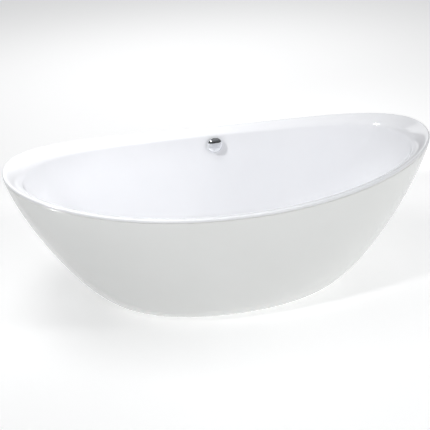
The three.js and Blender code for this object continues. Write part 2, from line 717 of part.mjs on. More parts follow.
function makeTrapBody() {
  const inside = TRAP_RADIUS - PLASTIC_WALL;
  const bore = SPIGOT_RADIUS - PLASTIC_WALL;
  const outer = turned([
    [0, TRAP_CLEARANCE],
    [TRAP_RADIUS - 5, TRAP_CLEARANCE],
    [TRAP_RADIUS, TRAP_CLEARANCE + 5],
    [TRAP_RADIUS, trapTop - 3],
    [TRAP_RADIUS - 3, trapTop],
    [SPIGOT_RADIUS, trapTop],
    [SPIGOT_RADIUS, trapInlet],
    [0, trapInlet],
  ]);
  const hollow = turned([
    [0, TRAP_CLEARANCE + PLASTIC_WALL],
    [inside - 3, TRAP_CLEARANCE + PLASTIC_WALL],
    [inside, TRAP_CLEARANCE + PLASTIC_WALL + 3],
    [inside, trapTop - PLASTIC_WALL - 2],
    [bore, trapTop - PLASTIC_WALL],
    [bore, trapInlet + 1],
    [0, trapInlet + 1],
  ]);
  const alongX = (geometry) => geometry.rotateY(Math.PI / 2).translate(0, 0, outletZ);
  const spigot = alongX(rod(OUTLET_RADIUS, inside, outletStart));
  const spigotHollow = alongX(rod(OUTLET_RADIUS - HOSE_WALL, inside - 10, outletStart + 1));
  return cut(join(outer, spigot), hollow, spigotHollow);
}

function makeTrapNut() {
  const outer = SPIGOT_RADIUS + GAP + 5;
  const nut = ringOf(SPIGOT_RADIUS + GAP, outer, trapTop + GAP + 1, trapInlet + SPIGOT_LENGTH - 4);
  const height = [trapTop, trapInlet + SPIGOT_LENGTH];
  const grips = Array.from({ length: 8 }, (_, i) =>
    rod(1.6, ...height, 8).translate(outer + 0.6, 0, 0).rotateZ((i * Math.PI) / 4),
  );
  return cut(nut, ...grips);
}

// The pipe to the house drain, with a socket that slips over the trap's spigot.
function makeOutletPipe() {
  const socket = 18;
  const bore = OUTLET_RADIUS - HOSE_WALL;
  const start = outletStart - socket;
  return turned([
    [OUTLET_RADIUS + GAP, start],
    [OUTLET_RADIUS + PLASTIC_WALL, start],
    [OUTLET_RADIUS + PLASTIC_WALL, outletStart + 3],
    [OUTLET_RADIUS, outletStart + 5],
    [OUTLET_RADIUS, outletStart + OUTLET_LENGTH],
    [bore, outletStart + OUTLET_LENGTH],
    [bore, outletStart + GAP],
    [OUTLET_RADIUS + GAP, outletStart + GAP],
  ])
    .rotateY(Math.PI / 2)
    .translate(0, 0, outletZ);
}

// ---------------------------------------------------------------- overflow, in its own frame

const wallBack = -BASIN_WALL - WALL_BEND;
const housingFace = wallBack - GASKET - GAP;
const housingEnd = housingFace - HOUSING_DEPTH;
const outletMid = housingFace - HOSE_RADIUS - GAP;
const outletDrop = OVERFLOW_HOLE_RADIUS + 24;
const rosetteTail = OVERFLOW_HOLE_RADIUS - 2;
const crankBack = housingEnd + PLASTIC_WALL + CRANK_RISE;
const cableDepth = crankBack + CRANK_THICKNESS / 2;
const crankLine = CRANK_ARM * Math.sin(crankRest);
const lugEnd = rosetteTail + 18;

function makeRosette() {
  const inner = rosetteTail - TAIL_WALL;
  const tailEnd = housingFace - 6;
  const shell = turned([
    [inner, tailEnd],
    [rosetteTail, tailEnd],
    [rosetteTail, WALL_BEND],
    [ROSETTE_RADIUS, WALL_BEND],
    [ROSETTE_RADIUS, WALL_BEND + 1.5],
    [ROSETTE_RADIUS - 2, WALL_BEND + 3],
    [inner, WALL_BEND + 3],
  ]);
  const reach = inner + TAIL_WALL / 2;
  const spokes = [0, 1, 2].map((i) =>
    box([0, -2, -4], [reach, 2, 2]).rotateZ((i * 2 * Math.PI) / 3 + Math.PI / 2),
  );
  const hub = rod(STEM_RADIUS + 4, -4, 2, SMALL_ROUND);
  return cut(join(shell, ...spokes, hub), rod(STEM_RADIUS + RUNNING, -6, 4, SMALL_ROUND));
}

function makeHousing() {
  const outerRadius = rosetteTail + GAP + PLASTIC_WALL;
  const cup = turned([
    [0, housingEnd],
    [outerRadius - 3, housingEnd],
    [outerRadius, housingEnd + 3],
    [outerRadius, housingFace - 4],
    [OVERFLOW_HOLE_RADIUS + 8, housingFace - 4],
    [OVERFLOW_HOLE_RADIUS + 8, housingFace],
    [0, housingFace],
  ]);
  const down = (geometry) => geometry.rotateX(Math.PI / 2).translate(0, 0, outletMid);
  const atCable = (geometry) => geometry.rotateY(-Math.PI / 2).translate(0, crankLine, cableDepth);
  const lug = atCable(rod(CABLE_RADIUS + 3, rosetteTail - 6, lugEnd, SMALL_ROUND));
  const lugHole = atCable(rod(CABLE_RADIUS + 2 * GAP, rosetteTail - 8, lugEnd + 1, SMALL_ROUND));
  const spout = down(rod(HOSE_RADIUS, 0, outletDrop));
  const spoutHollow = down(rod(HOSE_RADIUS - HOSE_WALL, 0, outletDrop + 1));
  const hollow = rod(rosetteTail + GAP, housingEnd + PLASTIC_WALL, housingFace + 1);
  const bore = rod(STEM_RADIUS + RUNNING, housingEnd - 1, housingEnd + PLASTIC_WALL + 1, SMALL_ROUND);
  return cut(join(cup, spout, lug), hollow, spoutHollow, bore, lugHole);
}

const makeOverflowGasket = () =>
  ringOf(OVERFLOW_HOLE_RADIUS, OVERFLOW_HOLE_RADIUS + 7, wallBack - GASKET, wallBack);

const knobFront = KNOB_BACK + KNOB_HEIGHT;

function makeKnob() {
  const rimBack = KNOB_BACK + KNOB_RIM;
  const dome = domeArc(KNOB_RADIUS, knobFront - rimBack, 8).map(([r, z]) => [r, rimBack + z]);
  const shell = turned([
    [0, knobFront - 6],
    [KNOB_RADIUS - 12, knobFront - 8],
    [KNOB_RADIUS - 4, KNOB_BACK],
    [KNOB_RADIUS - 1, KNOB_BACK],
    ...dome.reverse(),
  ]);
  const hub = rod(STEM_RADIUS + 4, KNOB_BACK, knobFront - 5, SMALL_ROUND);
  return cut(join(shell, hub), rod(STEM_RADIUS + GAP, KNOB_BACK - 1, knobFront - 8, SMALL_ROUND));
}

const makeSpindle = () => rod(STEM_RADIUS, housingEnd + 0.5, knobFront - 8 - GAP, SMALL_ROUND);

function makeCrank() {
  const front = crankBack + CRANK_THICKNESS;
  const arm = box([0, -3, crankBack], [CRANK_ARM, 3, front]);
  const end = rod(4, crankBack, front, SMALL_ROUND).translate(CRANK_ARM, 0, 0);
  const hub = rod(STEM_RADIUS + 2.5, crankBack, front, SMALL_ROUND);
  const eye = rod(1.2, crankBack - 1, front + 1, 8).translate(CRANK_ARM, 0, 0);
  const bore = rod(STEM_RADIUS + GAP, crankBack - 1, front + 1, SMALL_ROUND);
  return cut(join(hub, arm, end), bore, eye).rotateZ(crankRest);
}

// ---------------------------------------------------------------- hose and cable between the two shells

// Halfway between the back of the basin and the skirt at a given height.
function cavityY(z) {
  return (wallAtHeight(z).point.y + BASIN_WALL + skirtYAtHeight(z) - SKIRT_WALL) / 2;
}

const spoutEnd = fromOverflow(0, -outletDrop - GAP, outletMid);
const railUnder = frameBottom - HOSE_RADIUS - 6;

// Where a line of the given radius turns under the floor, a little inside the skirt.
function cornerPoint(x, radius) {
  const z = FLOOR_HEIGHT - BASIN_WALL - 16;
  return [x, skirtYAtHeight(z) - SKIRT_WALL - radius - 16, z];
}

function hosePoints() {
  const low = Math.min(portZ, railUnder);
  const drop = (z, share) => [OVERFLOW_SHIFT * share, cavityY(z), z];
  const [upper, middle, lower] = steps(2, spoutEnd.z - 80, FLOOR_HEIGHT + 60);
  return [
    spoutEnd.toArray(),
    fromOverflow(0, -outletDrop - 12, outletMid).toArray(),
    drop(upper, 0.8),
    drop(middle, 0.4),
    drop(lower, 0),
    cornerPoint(0, HOSE_RADIUS),
    [0, footY + 60, low + 6],
    [0, footY - 10, low],
    [0, portEnd + 14, portZ],
    [0, portEnd + GAP, portZ],
  ];
}

const makeHose = () => pipe(hosePoints(), HOSE_RADIUS, HOSE_WALL, 28, 5);

// A grip ring over the joint of the hose and its spigot, centred on the origin along Z.
function hoseNut() {
  const inner = HOSE_RADIUS + GAP;
  const outer = inner + 2;
  return turned([[inner, -9], [outer - 1, -9], [outer, -8], [outer, 5], [outer - 1, 9], [inner, 9]]);
}

function makeUpperHoseNut() {
  return hoseNut()
    .rotateX(Math.PI / 2)
    .translate(0, -outletDrop + 4, outletMid)
    .applyQuaternion(overflowTurn)
    .translate(...overflow.point.toArray());
}

const makeLowerHoseNut = () => hoseNut().rotateX(Math.PI / 2).translate(0, portEnd - 4, portZ);

function cablePoints() {
  const beside = -lugEnd - 52;
  const under = Math.min(cableBossZ, frameBottom - CABLE_RADIUS - 8);
  const inHousing = (x, drop) => fromOverflow(x, crankLine - drop, cableDepth).toArray();
  const lead = inHousing(beside, 52);
  return [
    inHousing(-rosetteTail + 3, 0),
    inHousing(-lugEnd + 6, 0),
    inHousing(-lugEnd - 4, 0),
    inHousing(-lugEnd - 24, 7),
    inHousing(-lugEnd - 44, 28),
    ...steps(3, lead[2] - 20, FLOOR_HEIGHT + 70).map((z) => [beside, cavityY(z), z]),
    cornerPoint(beside, CABLE_RADIUS),
    [beside, footY + 50, under + 8],
    [beside, footY - 10, under],
    [beside, 60, under],
    [(beside + cableBossEnd) / 2 - 8, 14, (under + cableBossZ) / 2],
    [cableBossEnd - 12, 0, cableBossZ],
    [cableBossEnd + 10, 0, cableBossZ],
  ];
}

const makeCable = () => pipe(cablePoints(), CABLE_RADIUS, 0, 48, 4);

// ---------------------------------------------------------------- assembly

const tub = new THREE.Group();
const overflowGroup = new THREE.Group();
overflowGroup.position.copy(overflow.point);
overflowGroup.quaternion.copy(overflowTurn);
tub.add(overflowGroup);

function add(name, geometry, material, { at = [0, 0, 0], parent = tub } = {}) {
  const mesh = new THREE.Mesh(geometry, material);
  mesh.name = name;
  mesh.position.set(...at);
  parent.add(mesh);
}

add("basin", makeBasin(), FINISH.acrylic);
add("outer_skirt", makeSkirt(), FINISH.acrylic);
add("rim_bond_bead", makeBead(), FINISH.bead);
add("base_board", makeBoard(), FINISH.board);

add("rail_front", makeRail(-1), FINISH.steel);
add("rail_back", makeRail(1), FINISH.steel);
add("crossbar_left", makeCrossbar(-1), FINISH.steel);
add("crossbar_right", makeCrossbar(1), FINISH.steel);

frameScrewPlaces().forEach(([x, y], i) => {
  add(`frame_screw_${i + 1}`, screw(frameScrewLength()), FINISH.steel, { at: [x, y, frameBottom - GAP] });
});

bracketPlaces().forEach((place, i) => {
  const [x, , side] = place;
  add(`skirt_bracket_${i + 1}`, makeBracket(place), FINISH.steel);
  const bracketScrew = screw(SHEET + SKIRT_WALL + GAP).rotateX(Math.PI);
  const head = flangeTop + GAP + SHEET + GAP;
  add(`bracket_screw_${i + 1}`, bracketScrew, FINISH.steel, { at: [x, side * bracketScrewY(), head] });
});

const footPlaces = [-1, 1].flatMap((x) => [-1, 1].map((y) => [x * footX, y * footY]));
footPlaces.forEach(([x, y], i) => {
  const at = [x, y, 0];
  add(`foot_pad_${i + 1}`, makePad(), FINISH.darkPlastic, { at });
  add(`foot_stud_${i + 1}`, makeStud(), FINISH.steel, { at });
  add(`weld_nut_${i + 1}`, footNut(weldNutTop, WELD_NUT_HEIGHT), FINISH.steel, { at });
  add(`lock_nut_${i + 1}`, footNut(lockNutTop, LOCK_NUT_HEIGHT), FINISH.steel, { at });
});

add("drain_flange", makeDrainFlange(), FINISH.chrome);
add("drain_gasket_upper", makeDrainGasket(gasketTop), FINISH.rubber);
add("drain_gasket_lower", makeDrainGasket(neckTop + GAP), FINISH.rubber);
add("waste_body", makeWasteBody(), FINISH.plastic);
add("drain_plug", makePlug(), FINISH.chrome);
add("plug_stem", makeStem(), FINISH.steel);
add("plug_seal", makePlugSeal(), FINISH.rubber);
add("lifter_lever", makeLever(), FINISH.darkPlastic);
add("lever_pin", makeLeverPin(), FINISH.steel);

add("trap_body", makeTrapBody(), FINISH.plastic);
add("trap_nut", makeTrapNut(), FINISH.plastic);
add("outlet_pipe", makeOutletPipe(), FINISH.plastic);

add("overflow_rosette", makeRosette(), FINISH.chrome, { parent: overflowGroup });
add("overflow_gasket", makeOverflowGasket(), FINISH.rubber, { parent: overflowGroup });
add("overflow_housing", makeHousing(), FINISH.plastic, { parent: overflowGroup });
add("overflow_knob", makeKnob(), FINISH.chrome, { parent: overflowGroup });
add("knob_spindle", makeSpindle(), FINISH.steel, { parent: overflowGroup });
add("cable_crank", makeCrank(), FINISH.darkPlastic, { parent: overflowGroup });

add("overflow_hose", makeHose(), FINISH.plastic);
add("hose_nut_upper", makeUpperHoseNut(), FINISH.darkPlastic);
add("hose_nut_lower", makeLowerHoseNut(), FINISH.darkPlastic);
add("control_cable", makeCable(), FINISH.darkPlastic);

export default tub;
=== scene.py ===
"""Looks for the freestanding bathtub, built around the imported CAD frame. Metres, +Z up, overflow on +Y."""

import json
import math

import bmesh
import bpy
import numpy as np
from mathutils import Matrix, Vector


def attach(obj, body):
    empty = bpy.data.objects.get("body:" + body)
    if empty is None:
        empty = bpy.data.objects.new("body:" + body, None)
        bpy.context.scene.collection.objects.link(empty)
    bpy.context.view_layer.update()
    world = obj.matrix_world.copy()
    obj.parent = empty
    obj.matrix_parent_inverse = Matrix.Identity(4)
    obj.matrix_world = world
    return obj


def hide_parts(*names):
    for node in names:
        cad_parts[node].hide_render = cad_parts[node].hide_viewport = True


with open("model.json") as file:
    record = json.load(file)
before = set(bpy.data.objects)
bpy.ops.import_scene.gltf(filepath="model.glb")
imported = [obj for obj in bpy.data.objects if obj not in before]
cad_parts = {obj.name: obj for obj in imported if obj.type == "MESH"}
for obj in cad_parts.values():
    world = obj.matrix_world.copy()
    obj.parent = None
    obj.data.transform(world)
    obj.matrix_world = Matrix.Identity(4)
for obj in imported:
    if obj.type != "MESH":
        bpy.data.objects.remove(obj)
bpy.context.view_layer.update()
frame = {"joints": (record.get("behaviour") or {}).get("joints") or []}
scene = bpy.context.scene
MM = 0.001

# ---------------------------------------------------------------- sizes, in millimetres, as in the CAD source

LENGTH, WIDTH = 1700, 750
RIM_SIDE, RIM_RISE, POWER = 583, 90, 2.13
BASE_LENGTH, BASE_WIDTH = 1020, 520
SKIRT_WALL, SKIRT_GAP, SKIRT_FLANGE = 6, 5, 24
SKIRT_SIDE = ((0.52, 0.03), (0.88, 0.41))
SKIRT_END = ((0.34, 0.03), (0.95, 0.69))
BASIN_WALL, LIP_SIDE, LIP_END, LIP_EDGE, LIP_RADIUS, BEAD = 7, 47, 64, 11, 5, 2.4
LIP_DROP_SIDE, LIP_DROP_END = 30, 62
LIP_CURVE_SIDE, LIP_CURVE_END = ((0.2, 0), (0.988, 0.55)), ((0.2, 0), (0.955, 0.55))
END_EASE = 0.008
FLOOR_LENGTH, FLOOR_WIDTH, FLOOR, FALL = 1080, 430, 150, 6
WALL_SIDE = ((0.55, 0.0), (0.93, 0.45))
WALL_END = ((0.42, 0.0), (0.93, 0.6))
DRAIN_HOLE, DRAIN_SEAT, DRAIN_RECESS, DRAIN_RAMP = 25, 37, 3, 9
GAP = 0.3
AROUND = 256
SEAT_Z = FLOOR - FALL - DRAIN_RECESS
BOARD_THICKNESS, BOARD_HOLE, BOARD_MARGIN = 15, 128, 40
TUBE, TUBE_WALL, RAIL_LENGTH = 25, 2, 780
FOOT_X, FOOT_Y, SCREW_Y = 340, 140, 75
BRACKET_X, BRACKET_WIDTH, SHEET = 260, 30, 3
STUD, PAD, PAD_HEIGHT, STUD_ABOVE = 6, 24, 16, 14
NUT_FLATS, WELD_NUT, LOCK_NUT = 19, 10, 7
SCREW, SCREW_HEAD, SCREW_HEAD_HEIGHT = 2.2, 4.8, 3
FLANGE_THICKNESS, GASKET, TAIL, TAIL_WALL, TAIL_LENGTH = 2.6, 3, 22, 3.5, 24
CHAMBER, PLASTIC_WALL, NECK_LENGTH, SPIGOT, SPIGOT_LENGTH = 30, 3, 16, 19, 10
PLUG, PLUG_THICKNESS, STEM, NOSE = 29, 5, 4, 1.6
LEVER_ARM, LEVER_TAIL, LEVER_SWING, LEVER_THICKNESS, PIN = 15, 20, 42, 6, 2
TRAP_CLEARANCE, TRAP, TRAP_HEIGHT, TRAP_NECK = 8, 42, 32, 9
OUTLET, OUTLET_LENGTH = 13, 190
OVERFLOW_SHIFT, OVERFLOW_HOLE, ROSETTE, ROSETTE_BACK = 14, 27, 31, 0.9
KNOB, KNOB_BACK, KNOB_HEIGHT, KNOB_RIM, HOUSING_DEPTH = 37, 9, 22, 3.4, 24
CRANK_ARM, CRANK_THICKNESS, CRANK_RISE = 10, 3, 2.5
HOSE, HOSE_WALL, CABLE = 11.5, 2.5, 3
RUNNING, WALL_BEND, GLUE = 0.3, 2.2, 0.5

BOARD_BOTTOM = FLOOR - FALL - BASIN_WALL - GLUE - BOARD_THICKNESS
FRAME_TOP = BOARD_BOTTOM - GAP
FRAME_MID, FRAME_BOTTOM = FRAME_TOP - TUBE / 2, FRAME_TOP - TUBE
FLANGE_TOP = SKIRT_GAP + SKIRT_WALL
FLANGE_UNDER = SEAT_Z + GAP + GASKET + GAP
NECK_TOP = SEAT_Z - BASIN_WALL - GAP - GASKET - GAP
NECK_BOTTOM = NECK_TOP - NECK_LENGTH
TRAP_TOP = TRAP_CLEARANCE + TRAP_HEIGHT
TRAP_INLET = TRAP_TOP + TRAP_NECK
CHAMBER_BOTTOM = TRAP_INLET + GAP + SPIGOT_LENGTH
PORT_Z, PORT_END = CHAMBER_BOTTOM + HOSE + 6, CHAMBER + 24
PIVOT_X, PIVOT_Z = -LEVER_ARM, NECK_BOTTOM - 18
LEVER_REST = math.radians(LEVER_SWING / 2)
CABLE_BOSS_Z, CABLE_BOSS_END = PIVOT_Z - LEVER_TAIL, -CHAMBER - 14
PLUG_BOTTOM = FLANGE_UNDER + FLANGE_THICKNESS + GAP + 2 + GAP
OUTLET_Z, OUTLET_START = TRAP_CLEARANCE + TRAP_HEIGHT / 2, TRAP + 22
WALL_BACK = -BASIN_WALL - WALL_BEND
HOUSING_FACE = WALL_BACK - GASKET - GAP
HOUSING_END = HOUSING_FACE - HOUSING_DEPTH
SPOUT_Z, SPOUT_DROP = HOUSING_FACE - HOSE - GAP, OVERFLOW_HOLE + 24
ROSETTE_TAIL = OVERFLOW_HOLE - 2
CRANK_BACK = HOUSING_END + PLASTIC_WALL + CRANK_RISE
CABLE_DEPTH, CRANK_LINE = CRANK_BACK + CRANK_THICKNESS / 2, CRANK_ARM * math.sin(math.radians(45))
LUG_END = ROSETTE_TAIL + 18
KNOB_FRONT = KNOB_BACK + KNOB_HEIGHT


# ---------------------------------------------------------------- mesh helpers

def new_object(name, mesh):
    obj = bpy.data.objects.new(name, mesh)
    scene.collection.objects.link(obj)
    return obj


def mesh_from(name, verts, faces, angle=32):
    mesh = bpy.data.meshes.new(name)
    mesh.from_pydata([tuple(v) for v in verts], [], faces)
    mesh.validate()
    finish_shading(mesh, angle)
    return mesh


def finish_shading(mesh, angle=32):
    mesh.shade_smooth()
    mesh.set_sharp_from_angle(angle=math.radians(angle))


def faced_out(mesh, angle):
    """Turns every face of a closed mesh outwards."""
    bm = bmesh.new()
    bm.from_mesh(mesh)
    bmesh.ops.recalc_face_normals(bm, faces=bm.faces)
    bm.to_mesh(mesh)
    bm.free()
    finish_shading(mesh, angle)
    return mesh


def capped_rows(count, sides):
    """Faces between count + 1 rings of points, with a face over each end."""
    faces = []
    for k in range(count * sides):
        beside = k - k % sides + (k + 1) % sides
        faces.append((k, beside, beside + sides, k + sides))
    return faces + [tuple(reversed(range(sides))), tuple(range(count * sides, (count + 1) * sides))]


def ring_mesh(name, rings, angle=32):
    """A closed body from rings of points (millimetres) that run round a section and back to the first."""
    rings = np.asarray(rings, float) * MM
    count, around = rings.shape[:2]
    faces = []
    for k in range(count):
        nxt = (k + 1) % count
        for j in range(around):
            side = (j + 1) % around
            faces.append((k * around + j, k * around + side, nxt * around + side, nxt * around + j))
    return faced_out(mesh_from(name, rings.reshape(-1, 3), faces, angle), angle)


def rounded(profile, radius=0.4, parts=3):
    """Rounds each corner off the axis of a closed [radius, height] profile."""
    out = []
    n = len(profile)
    for i, p in enumerate(profile):
        a, b, c = Vector(profile[i - 1]), Vector(p), Vector(profile[(i + 1) % n])
        if b.x < 1e-9:
            out.append(tuple(b))
            continue
        ab, cb = a - b, c - b
        if ab.length < 1e-6 or cb.length < 1e-6 or ab.angle(cb) > math.radians(165):
            out.append(tuple(b))
            continue
        trim = min(radius, 0.4 * ab.length, 0.4 * cb.length)
        start, end = b + ab.normalized() * trim, b + cb.normalized() * trim
        for k in range(parts + 1):
            t = k / parts
            out.append(tuple((1 - t) ** 2 * start + 2 * t * (1 - t) * b + t * t * end))
    return out


def lathe(name, profile, sides=96, angle=32):
    """A closed body turned about Z from a closed [radius, height] profile, or one that ends on the axis."""
    verts, rows = [], []
    for r, z in profile:
        if r < 1e-9:
            rows.append([len(verts)])
            verts.append((0, 0, z * MM))
        else:
            rows.append(list(range(len(verts), len(verts) + sides)))
            for j in range(sides):
                a = 2 * math.pi * j / sides
                verts.append((r * MM * math.cos(a), r * MM * math.sin(a), z * MM))
    faces = []
    for k, row in enumerate(rows):
        nxt = rows[(k + 1) % len(rows)]
        if len(row) == 1 and len(nxt) == 1:
            continue
        for j in range(sides):
            side = (j + 1) % sides
            if len(row) == 1:
                faces.append((row[0], nxt[side], nxt[j]))
            elif len(nxt) == 1:
                faces.append((row[j], row[side], nxt[0]))
            else:
                faces.append((row[j], row[side], nxt[side], nxt[j]))
    return faced_out(mesh_from(name, verts, faces, angle), angle)


def rod(radius, bottom, top, sides=64):
    return lathe("rod", [(0, bottom), (radius, bottom), (radius, top), (0, top)], sides)


def block(low, high):
    verts = [
        Vector((x, y, z)) * MM for x in (low[0], high[0]) for y in (low[1], high[1])
        for z in (low[2], high[2])
    ]
    faces = [(0, 1, 3, 2), (4, 6, 7, 5), (0, 4, 5, 1), (2, 3, 7, 6), (0, 2, 6, 4), (1, 5, 7, 3)]
    return mesh_from("block", verts, faces)


def moved(mesh, matrix):
    mesh.transform(matrix)
    return mesh


def shift(x=0.0, y=0.0, z=0.0):
    return Matrix.Translation(Vector((x, y, z)) * MM)


def spin(degrees, axis):
    return Matrix.Rotation(math.radians(degrees), 4, axis)


ALONG_X, ALONG_Y, ALONG_MINUS_X = spin(90, "Y"), spin(-90, "X"), spin(-90, "Y")


def prism(name, outline_points, low, high, angle=32):
    """An outline of (x, y) points drawn from low to high along Z."""
    count = len(outline_points)
    verts = [Vector((x, y, z)) * MM for z in (low, high) for x, y in outline_points]
    faces = [tuple(reversed(range(count))), tuple(range(count, 2 * count))]
    faces += [(j, (j + 1) % count, (j + 1) % count + count, j + count) for j in range(count)]
    return faced_out(mesh_from(name, verts, faces, angle), angle)


def soft_square(half, radius, parts=6):
    """A square outline with round corners."""
    out = []
    for i in range(4):
        middle = math.radians(45 + 90 * i)
        cx, cy = ((half - radius) * math.copysign(1, v) for v in (math.cos(middle), math.sin(middle)))
        for k in range(parts + 1):
            a = math.radians(90 * i + 90 * k / parts)
            out.append((cx + radius * math.cos(a), cy + radius * math.sin(a)))
    return out


def threaded(name, radius, bottom, top, pitch, depth, sides=48, ease=1.5):
    """A rod with a screw thread: the groove climbs by one pitch each turn and fades out at both ends."""
    count = max(4, round((top - bottom) / pitch * 8))
    verts = []
    for z in np.linspace(bottom, top, count + 1):
        fade = min(1.0, (z - bottom) / ease, (top - z) / ease)
        for a in turn(sides):
            phase = (z / pitch - a / (2 * math.pi)) % 1
            r = radius - depth * (1 - abs(2 * phase - 1)) - (1 - fade) * depth
            verts.append((r * math.cos(a) * MM, r * math.sin(a) * MM, z * MM))
    return mesh_from(name, verts, capped_rows(count, sides), 20)


def arc(radius, height, parts, power=2.0):
    """[radius, height] points of a dome that falls from (0, height) to (radius, 0)."""
    steps = [math.pi / 2 * i / parts for i in range(parts + 1)]
    return [(radius * math.sin(a) ** (2 / power), height * math.cos(a) ** (2 / power)) for a in steps]


def hexagon(flats, low, high):
    """A hexagon nut blank whose corners are turned down at both ends."""
    corner = flats / math.sqrt(3)
    hexa = prism("hex", [(corner * math.cos(a), corner * math.sin(a)) for a in turn(6)], low, high)
    ease = corner - flats / 2
    cone = [(0, low), (flats / 2 - 0.3, low), (corner + 0.05, low + ease * 0.8)]
    cone += [(corner + 0.05, high - ease * 0.8), (flats / 2 - 0.3, high), (0, high)]
    return combine("hex", hexa, [lathe("cone", cone, 96)], "INTERSECT", 20)


def combine(name, base, others, operation, angle=32):
    """Joins (UNION), cuts (DIFFERENCE) or keeps the shared part (INTERSECT) of closed meshes."""
    target = new_object("work", base)
    tools = []
    for other in others:
        tool = new_object("tool", other)
        tools.append(tool)
        mod = target.modifiers.new("b", "BOOLEAN")
        mod.operation = operation
        mod.object = tool
        mod.solver = "EXACT"
    bpy.context.view_layer.update()
    result = bpy.data.meshes.new_from_object(target.evaluated_get(bpy.context.evaluated_depsgraph_get()))
    result.name = name
    for obj in [target] + tools:
        bpy.data.objects.remove(obj)
    finish_shading(result, angle)
    return result


def join(name, base, others, angle=32):
    return combine(name, base, others, "UNION", angle)


def cut(name, base, others, angle=32):
    return combine(name, base, others, "DIFFERENCE", angle)


def tube_mesh(name, points, radius, sides=24, ribs=None, wall=0, step=2.0):
    """A tube along a smooth path (millimetres). ribs(arc length) gives its outer radius along the way."""
    path = resampled(smooth_path([Vector(p) for p in points], 40), step)
    outer, inner, normal, along = [], [], None, 0.0
    for i, p in enumerate(path):
        tangent = (path[min(i + 1, len(path) - 1)] - path[max(i - 1, 0)]).normalized()
        normal = normal or tangent.orthogonal()
        normal = (normal - tangent * normal.dot(tangent)).normalized()
        side = tangent.cross(normal)
        along += (p - path[i - 1]).length if i else 0
        r = ribs(along) if ribs else radius
        around = [normal * math.cos(a) + side * math.sin(a) for a in turn(sides)]
        outer.append([p + d * r for d in around])
        inner.append([p + d * (r - wall) for d in around])
    if wall:
        return ring_mesh(name, outer + inner[::-1], 50)
    verts = [v * MM for ring in outer for v in ring]
    return mesh_from(name, verts, capped_rows(len(outer) - 1, sides), 50)


def turn(sides):
    return [2 * math.pi * j / sides for j in range(sides)]


def resampled(path, step):
    """The same path in even steps of about the given length."""
    lengths = np.concatenate([[0], np.cumsum([(b - a).length for a, b in zip(path, path[1:])])])
    count = max(2, round(lengths[-1] / step))
    spots = np.linspace(0, lengths[-1], count + 1)
    axes = [np.interp(spots, lengths, [p[k] for p in path]) for k in range(3)]
    return [Vector(p) for p in zip(*axes)]


def smooth_path(points, parts):
    """A centripetal Catmull-Rom curve through the points."""
    pts = [points[0] * 2 - points[1]] + list(points) + [points[-1] * 2 - points[-2]]
    out = []
    for i in range(1, len(pts) - 2):
        p0, p1, p2, p3 = pts[i - 1 : i + 3]
        t1 = (p1 - p0).length ** 0.5
        t2 = t1 + (p2 - p1).length ** 0.5
        t3 = t2 + (p3 - p2).length ** 0.5
        for k in range(parts):
            t = t1 + (t2 - t1) * k / parts
            a1 = p0 * ((t1 - t) / t1) + p1 * (t / t1)
            a2 = p1 * ((t2 - t) / (t2 - t1)) + p2 * ((t - t1) / (t2 - t1))
            a3 = p2 * ((t3 - t) / (t3 - t2)) + p3 * ((t - t2) / (t3 - t2))
            b1 = a1 * ((t2 - t) / t2) + a2 * (t / t2)
            b2 = a2 * ((t3 - t) / (t3 - t1)) + a3 * ((t - t1) / (t3 - t1))
            out.append(b1 * ((t2 - t) / (t2 - t1)) + b2 * ((t - t1) / (t2 - t1)))
    out.append(points[-1])
    return out


# ---------------------------------------------------------------- the tub's surfaces

ANGLE = 2 * np.pi * np.arange(AROUND) / AROUND
END_SHARE = np.cos(ANGLE) ** 2


def outline(power=POWER):
    """A unit superellipse whose ends are kept round."""
    return [v * (v * v + END_EASE) ** (1 / power - 0.5) for v in (np.cos(ANGLE), np.sin(ANGLE))]


UX, UY = outline()
RIM = RIM_SIDE + RIM_RISE * UX**2
LIP_DROP = LIP_DROP_SIDE + (LIP_DROP_END - LIP_DROP_SIDE) * UX**2


def mix(a, b, t):
    return a + (b - a) * t


def bezier(handles, s):
    (q1, w1), (q2, w2) = handles
    b1, b2, b3 = 3 * s * (1 - s) ** 2, 3 * s * s * (1 - s), s**3
    return b1 * q1 + b2 * q2 + b3, b1 * w1 + b2 * w2 + b3


def level(half_length, half_width, height, power=POWER):
    x, y = (UX, UY) if power == POWER else outline(power)
    return np.column_stack([x * half_length, y * half_width, np.broadcast_to(height, AROUND)])


def flared(low, high, side, end, s):
    side_out, side_up = bezier(side, s)
    end_out, end_up = bezier(end, s)
    out = mix(side_out, end_out, END_SHARE)
    up = mix(side_up, end_up, END_SHARE)
    x = UX * mix(low[0], high[0], out)
    y = UY * mix(low[1], high[1], out)
    return np.column_stack([x, y, mix(low[2], high[2], up)])


def skirt_ring(s):
    top = RIM - LIP_EDGE - BEAD - 2 * GAP
    return flared(
        (BASE_LENGTH / 2, BASE_WIDTH / 2, SKIRT_GAP), (LENGTH / 2, WIDTH / 2, top), SKIRT_SIDE, SKIRT_END, s
    )


def wall_ring(s):
    high = (LENGTH / 2 - LIP_END, WIDTH / 2 - LIP_SIDE, RIM - LIP_DROP)
    return flared((FLOOR_LENGTH / 2, FLOOR_WIDTH / 2, FLOOR), high, WALL_SIDE, WALL_END, s)


def floor_ring(share):
    start = DRAIN_SEAT + DRAIN_RAMP
    z = FLOOR - FALL * (1 - share)
    return level(
        mix(start, FLOOR_LENGTH / 2, share), mix(start, FLOOR_WIDTH / 2, share), z, mix(2, POWER, share)
    )


def lip_ring(s):
    side_out, down = bezier(LIP_CURVE_SIDE, s)
    end_out, _ = bezier(LIP_CURVE_END, s)
    out = mix(side_out, end_out, UX**2)
    inset_x, inset_y = mix(LIP_RADIUS, LIP_END, out), mix(LIP_RADIUS, LIP_SIDE, out)
    return np.column_stack([UX * (LENGTH / 2 - inset_x), UY * (WIDTH / 2 - inset_y), RIM - LIP_DROP * down])


